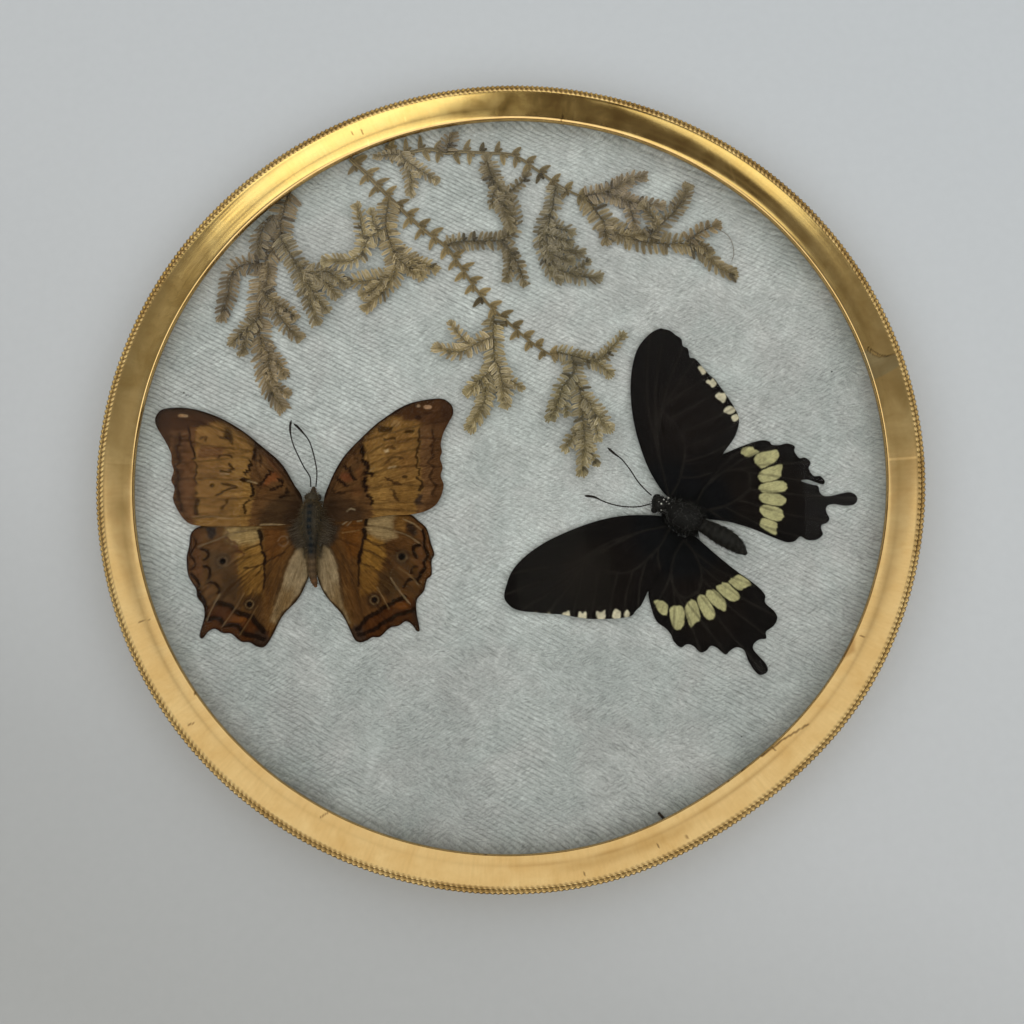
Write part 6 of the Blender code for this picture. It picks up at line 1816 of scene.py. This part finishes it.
def clubmoss_strip(build, route, reach, dense, level, colour, rng, breadth):
    """A stem with leaves: close combs of leaflets on the branches, pairs far apart on the stems."""
    curve = smooth_curve(path(route), 0.35)
    runs = runs_along(curve)
    total = runs[-1]

    def place(run):
        run = min(max(run, 0.0), total)
        return np.array([np.interp(run, runs, curve[:, 0]), np.interp(run, runs, curve[:, 1])])

    def direction(run):
        span = place(run + 0.7) - place(run - 0.7)
        return span / np.linalg.norm(span)

    height = SPRIG_LOW + SPRIG_STEP * level + 0.12
    tone = linear(colour)
    radius = (0.26 if dense else 0.55) * (1.0 - 0.45 * runs / total)
    stem = np.column_stack([curve, np.full(len(curve), height), radius])
    points, _ = tube_points(stem, 8, 0.55)
    # Branches are evenly dark. Along a stem: painted highlights on the upper flanks, darker along the top,
    # painted shade on the sides and underside.
    bark_and_shading = np.outer([0.45] * 8 if dense else [0.3, 1.6, 0.5, 1.6, 0.3, 0.3, 0.3, 0.3], tone)
    build.take(points, tube_faces(len(curve), 8), np.tile(bark_and_shading, (len(curve), 1)))

    spacing, half = (1.04 + 0.34 * breadth, 0.36 + 0.14 * breadth) if dense else (3.9, 0.68)
    for side in (1, -1):
        run = spacing * (0.3 if side > 0 else 0.75 if dense else 0.42)
        while run < total + 0.3:
            share = run / total
            length = reach * (1.0 - 0.26 * share**3) * rng.uniform(0.96, 1.16) * (1.05 if dense else 0.95)
            ahead = direction(run)
            across = np.array([-ahead[1], ahead[0]]) * side
            # Leaves on the inside of a bend are shorter, except close to the ends of the strip.
            if 0.5 < run < total - 0.5:
                bend = (direction(run + BEND_LENGTH / 2) - direction(run - BEND_LENGTH / 2)) @ across
                if bend > 0.0:
                    length = min(length, BEND_LENGTH * BEND_SHARE / max(bend, 0.2))
            lean = math.radians(rng.normal(9.0 + 44.0 * share**4 if dense else 14.0, 6.0))
            out = across * math.cos(lean) + ahead * math.sin(lean)
            base = np.append(place(run) + across * 0.1, height + rng.uniform(-0.05, 0.05))
            fresh = rng.uniform(0.66, 1.32)
            if fresh > 1.29:
                fresh = 0.36
            dark = tone * fresh * np.array([1.0, 0.96, 0.84])
            # The pale colour is lighter and bluer: the margins' own paler tone with painted highlight.
            pale = tone * fresh * rng.uniform(1.5, 2.3) * (0.97, 0.99, 1.16) + 0.02
            if dense:
                leaf(build, base, out, ahead, length, half * rng.uniform(0.9, 1.15), rng.uniform(0.0, 0.6),
                     0.1 * side, rng.uniform(-0.02, 0.1), dark, pale, rng.uniform(-0.03, 0.16))
            else:
                leaf(build, base, out, ahead, length, half * rng.uniform(0.85, 1.1), rng.uniform(-0.2, 0.4),
                     0.05 * side, 0.04, dark * 0.9, dark * (1.85, 1.9, 2.1), 0.08, STEM_LEAF)
            if rng.random() < (0.6 + 0.4 * share if dense else 1.0):
                small = across * math.cos(lean + 0.75) + ahead * math.sin(lean + 0.75)
                leaf(build, base + np.array([0, 0, 0.14]), small, ahead,
                     min(1.3 if dense else 1.9, length * 0.6), 0.24 if dense else 0.42, 0.1, 0.02,
                     0.03, dark * 0.6, dark * 1.25, 0.05)
            run += spacing * rng.uniform(0.93, 1.07)
    for turn in TIP_TURNS:
        ahead = direction(total)
        out = ahead * math.cos(turn) + np.array([-ahead[1], ahead[0]]) * math.sin(turn)
        base = np.append(place(total), height)
        leaf(build, base, out, ahead, min(reach, 2.0) * rng.uniform(0.7, 1.1), 0.32, 0.1, 0.0, 0.03,
             tone * rng.uniform(0.6, 1.1), tone * 1.7, 0.05)


def moss_material():
    shades, base, speck = tinted("dried_clubmoss", 0.72, 0.22, 2.2, 4.0, 0.7, (0.7, 0.69, 0.66),
                                 (1.25, 1.24, 1.2), 0.8)
    patch = shades.noise(shades.place(), 0.16, 3.0, 0.6)
    shades.surface(Base_Color=shades.times(base, patch, (0.32, (0.8, 0.78, 0.72)), (0.68, 1.12), share=0.7))
    shades.bump(speck, 0.4, 0.1)
    return shades.material


def make_sprigs():
    material = moss_material()
    for group in ("left", "long", "top"):
        build = Build()
        nodes = [name for name in SPRIGS if name.startswith("clubmoss_" + group + "_")]
        limits = []
        for order, node in enumerate(nodes):
            level, colour, breadth, strips, filling = SPRIGS[node]
            rng = np.random.default_rng(100 + order + len(group))
            before = build.count
            for route, reach, *kind in strips:
                clubmoss_strip(build, route, reach, STEM not in kind, level, colour, rng, breadth)
            for route, reach in filling:
                clubmoss_strip(build, route, reach, True, level + FILL_LIFT, colour, rng, FILL_BREADTH)
            limits.append((before, build.count, SPRIG_LIMIT_R[level]))
        # Nothing reaches under the lip, into the glass or into the velvet.
        verts = np.vstack(build.verts)
        for first, last, limit in limits:
            part = verts[first:last]
            radius = np.hypot(part[:, 0], part[:, 1])
            part[:, :2] *= np.minimum(1.0, limit / radius)[:, None]
            glass = GLASS_EDGE_BOTTOM + glass_lift(np.minimum(radius, limit))
            part[:, 2] = np.maximum(np.minimum(part[:, 2], glass - 0.08), VELVET_TOP + 0.08)
        build.verts = [verts]
        sprig = build.piece("clubmoss_" + group + "_sprig", [material])
        sprig.data.set_sharp_from_angle(angle=math.radians(60))
        finish_piece(sprig, "dried_clubmoss", *nodes)


# ---------------------------------------------------------------- loose specks

# Grains on the velvet: x, y and half size.
GRAINS = path("81,34.6,0.22 76.5,22,0.2 -77.2,18.4,0.22 -76.6,17.6,0.15 84.5,-20.5,0.2 78,-40,0.25 "
              "-20.2,-60.4,0.14 52,-62,0.16 -62,-52,0.14")
THREAD = path("51.3,58.2,4.1 53.4,56.6,4.2 54.5,54.3,4.15 54.7,51.6,4.1 54.2,50.1,4.05")
# A small rod of debris at the lower lip.
ROD_ANGLE, ROD_SKEW, ROD_INNER_R, ROD_OUTER_R = math.radians(293.0), 0.002, 85.0, 86.6


def make_specks():
    build = Build()
    rng = np.random.default_rng(5)
    rod = [(math.cos(ROD_ANGLE + ROD_SKEW * k) * r, math.sin(ROD_ANGLE + ROD_SKEW * k) * r, 4.0, 0.28)
           for k, r in enumerate(np.linspace(ROD_INNER_R, ROD_OUTER_R, 6))]
    points, _ = tube_points(rod, 8)
    build.take(points, tube_faces(len(rod), 8), linear((40, 32, 26)))
    for x, y, size in GRAINS:
        radii = (size, size * rng.uniform(0.6, 1.0), size * 0.6)
        ball(build, (x, y, VELVET_TOP + size * 0.6), radii, (30, 26, 24), rng.uniform(0, 3), 8)
    thread = smooth_curve(THREAD, 0.3)
    points, _ = tube_points(np.column_stack([thread, np.full(len(thread), 0.07)]), 6)
    build.take(points, tube_faces(len(thread), 6), linear((120, 110, 92)))
    finish_piece(build.piece("loose_specks", [shell_material()]), "insect_fur")


# ---------------------------------------------------------------- all of it

def main():
    make_camera()
    make_stage()
    metal = brass()
    finish_piece(make_rim(metal), "gilt_metal", "rim")
    finish_piece(make_tabs(metal), "gilt_metal")
    finish_piece(make_glass(), "clear_glass", "glass_dome")
    velvet = disc_piece("velvet_cloth", VELVET_LOW, VELVET_TOP, velvet_cloth(), 30, 0.05)
    finish_piece(velvet, "pale_velvet", "velvet_sheet")
    grey = board("grey_card", (138, 132, 120), (156, 150, 138), 0.8)
    finish_piece(disc_piece("grey_card", CARD_LOW, CARD_TOP, grey), "grey_card", "backing_card")
    brown = board("cover_board", (70, 58, 44), (92, 76, 58), 0.6)
    finish_piece(disc_piece("rear_cover", COVER_LOW, COVER_TOP, brown), "cover_board", "back_cover")
    scales = wing_material("cruiser_scales", 0.8, 0.0, 0.16, 0.75)
    for index, (node, *data) in enumerate(CRUISER_WINGS):
        make_wing(node, cruiser_wing(node, *data), scales, "cruiser_wing", 40 + index * 10)
    scales = wing_material("mormon_scales", 0.75, 0.02, 0.1, 0.3)
    for index, node in enumerate(CELLS):
        make_wing(node, mormon_wing(node), scales, "mormon_wing", 90 + index * 10)
    make_bodies()
    make_sprigs()
    make_specks()


main()
bpy.context.view_layer.update()
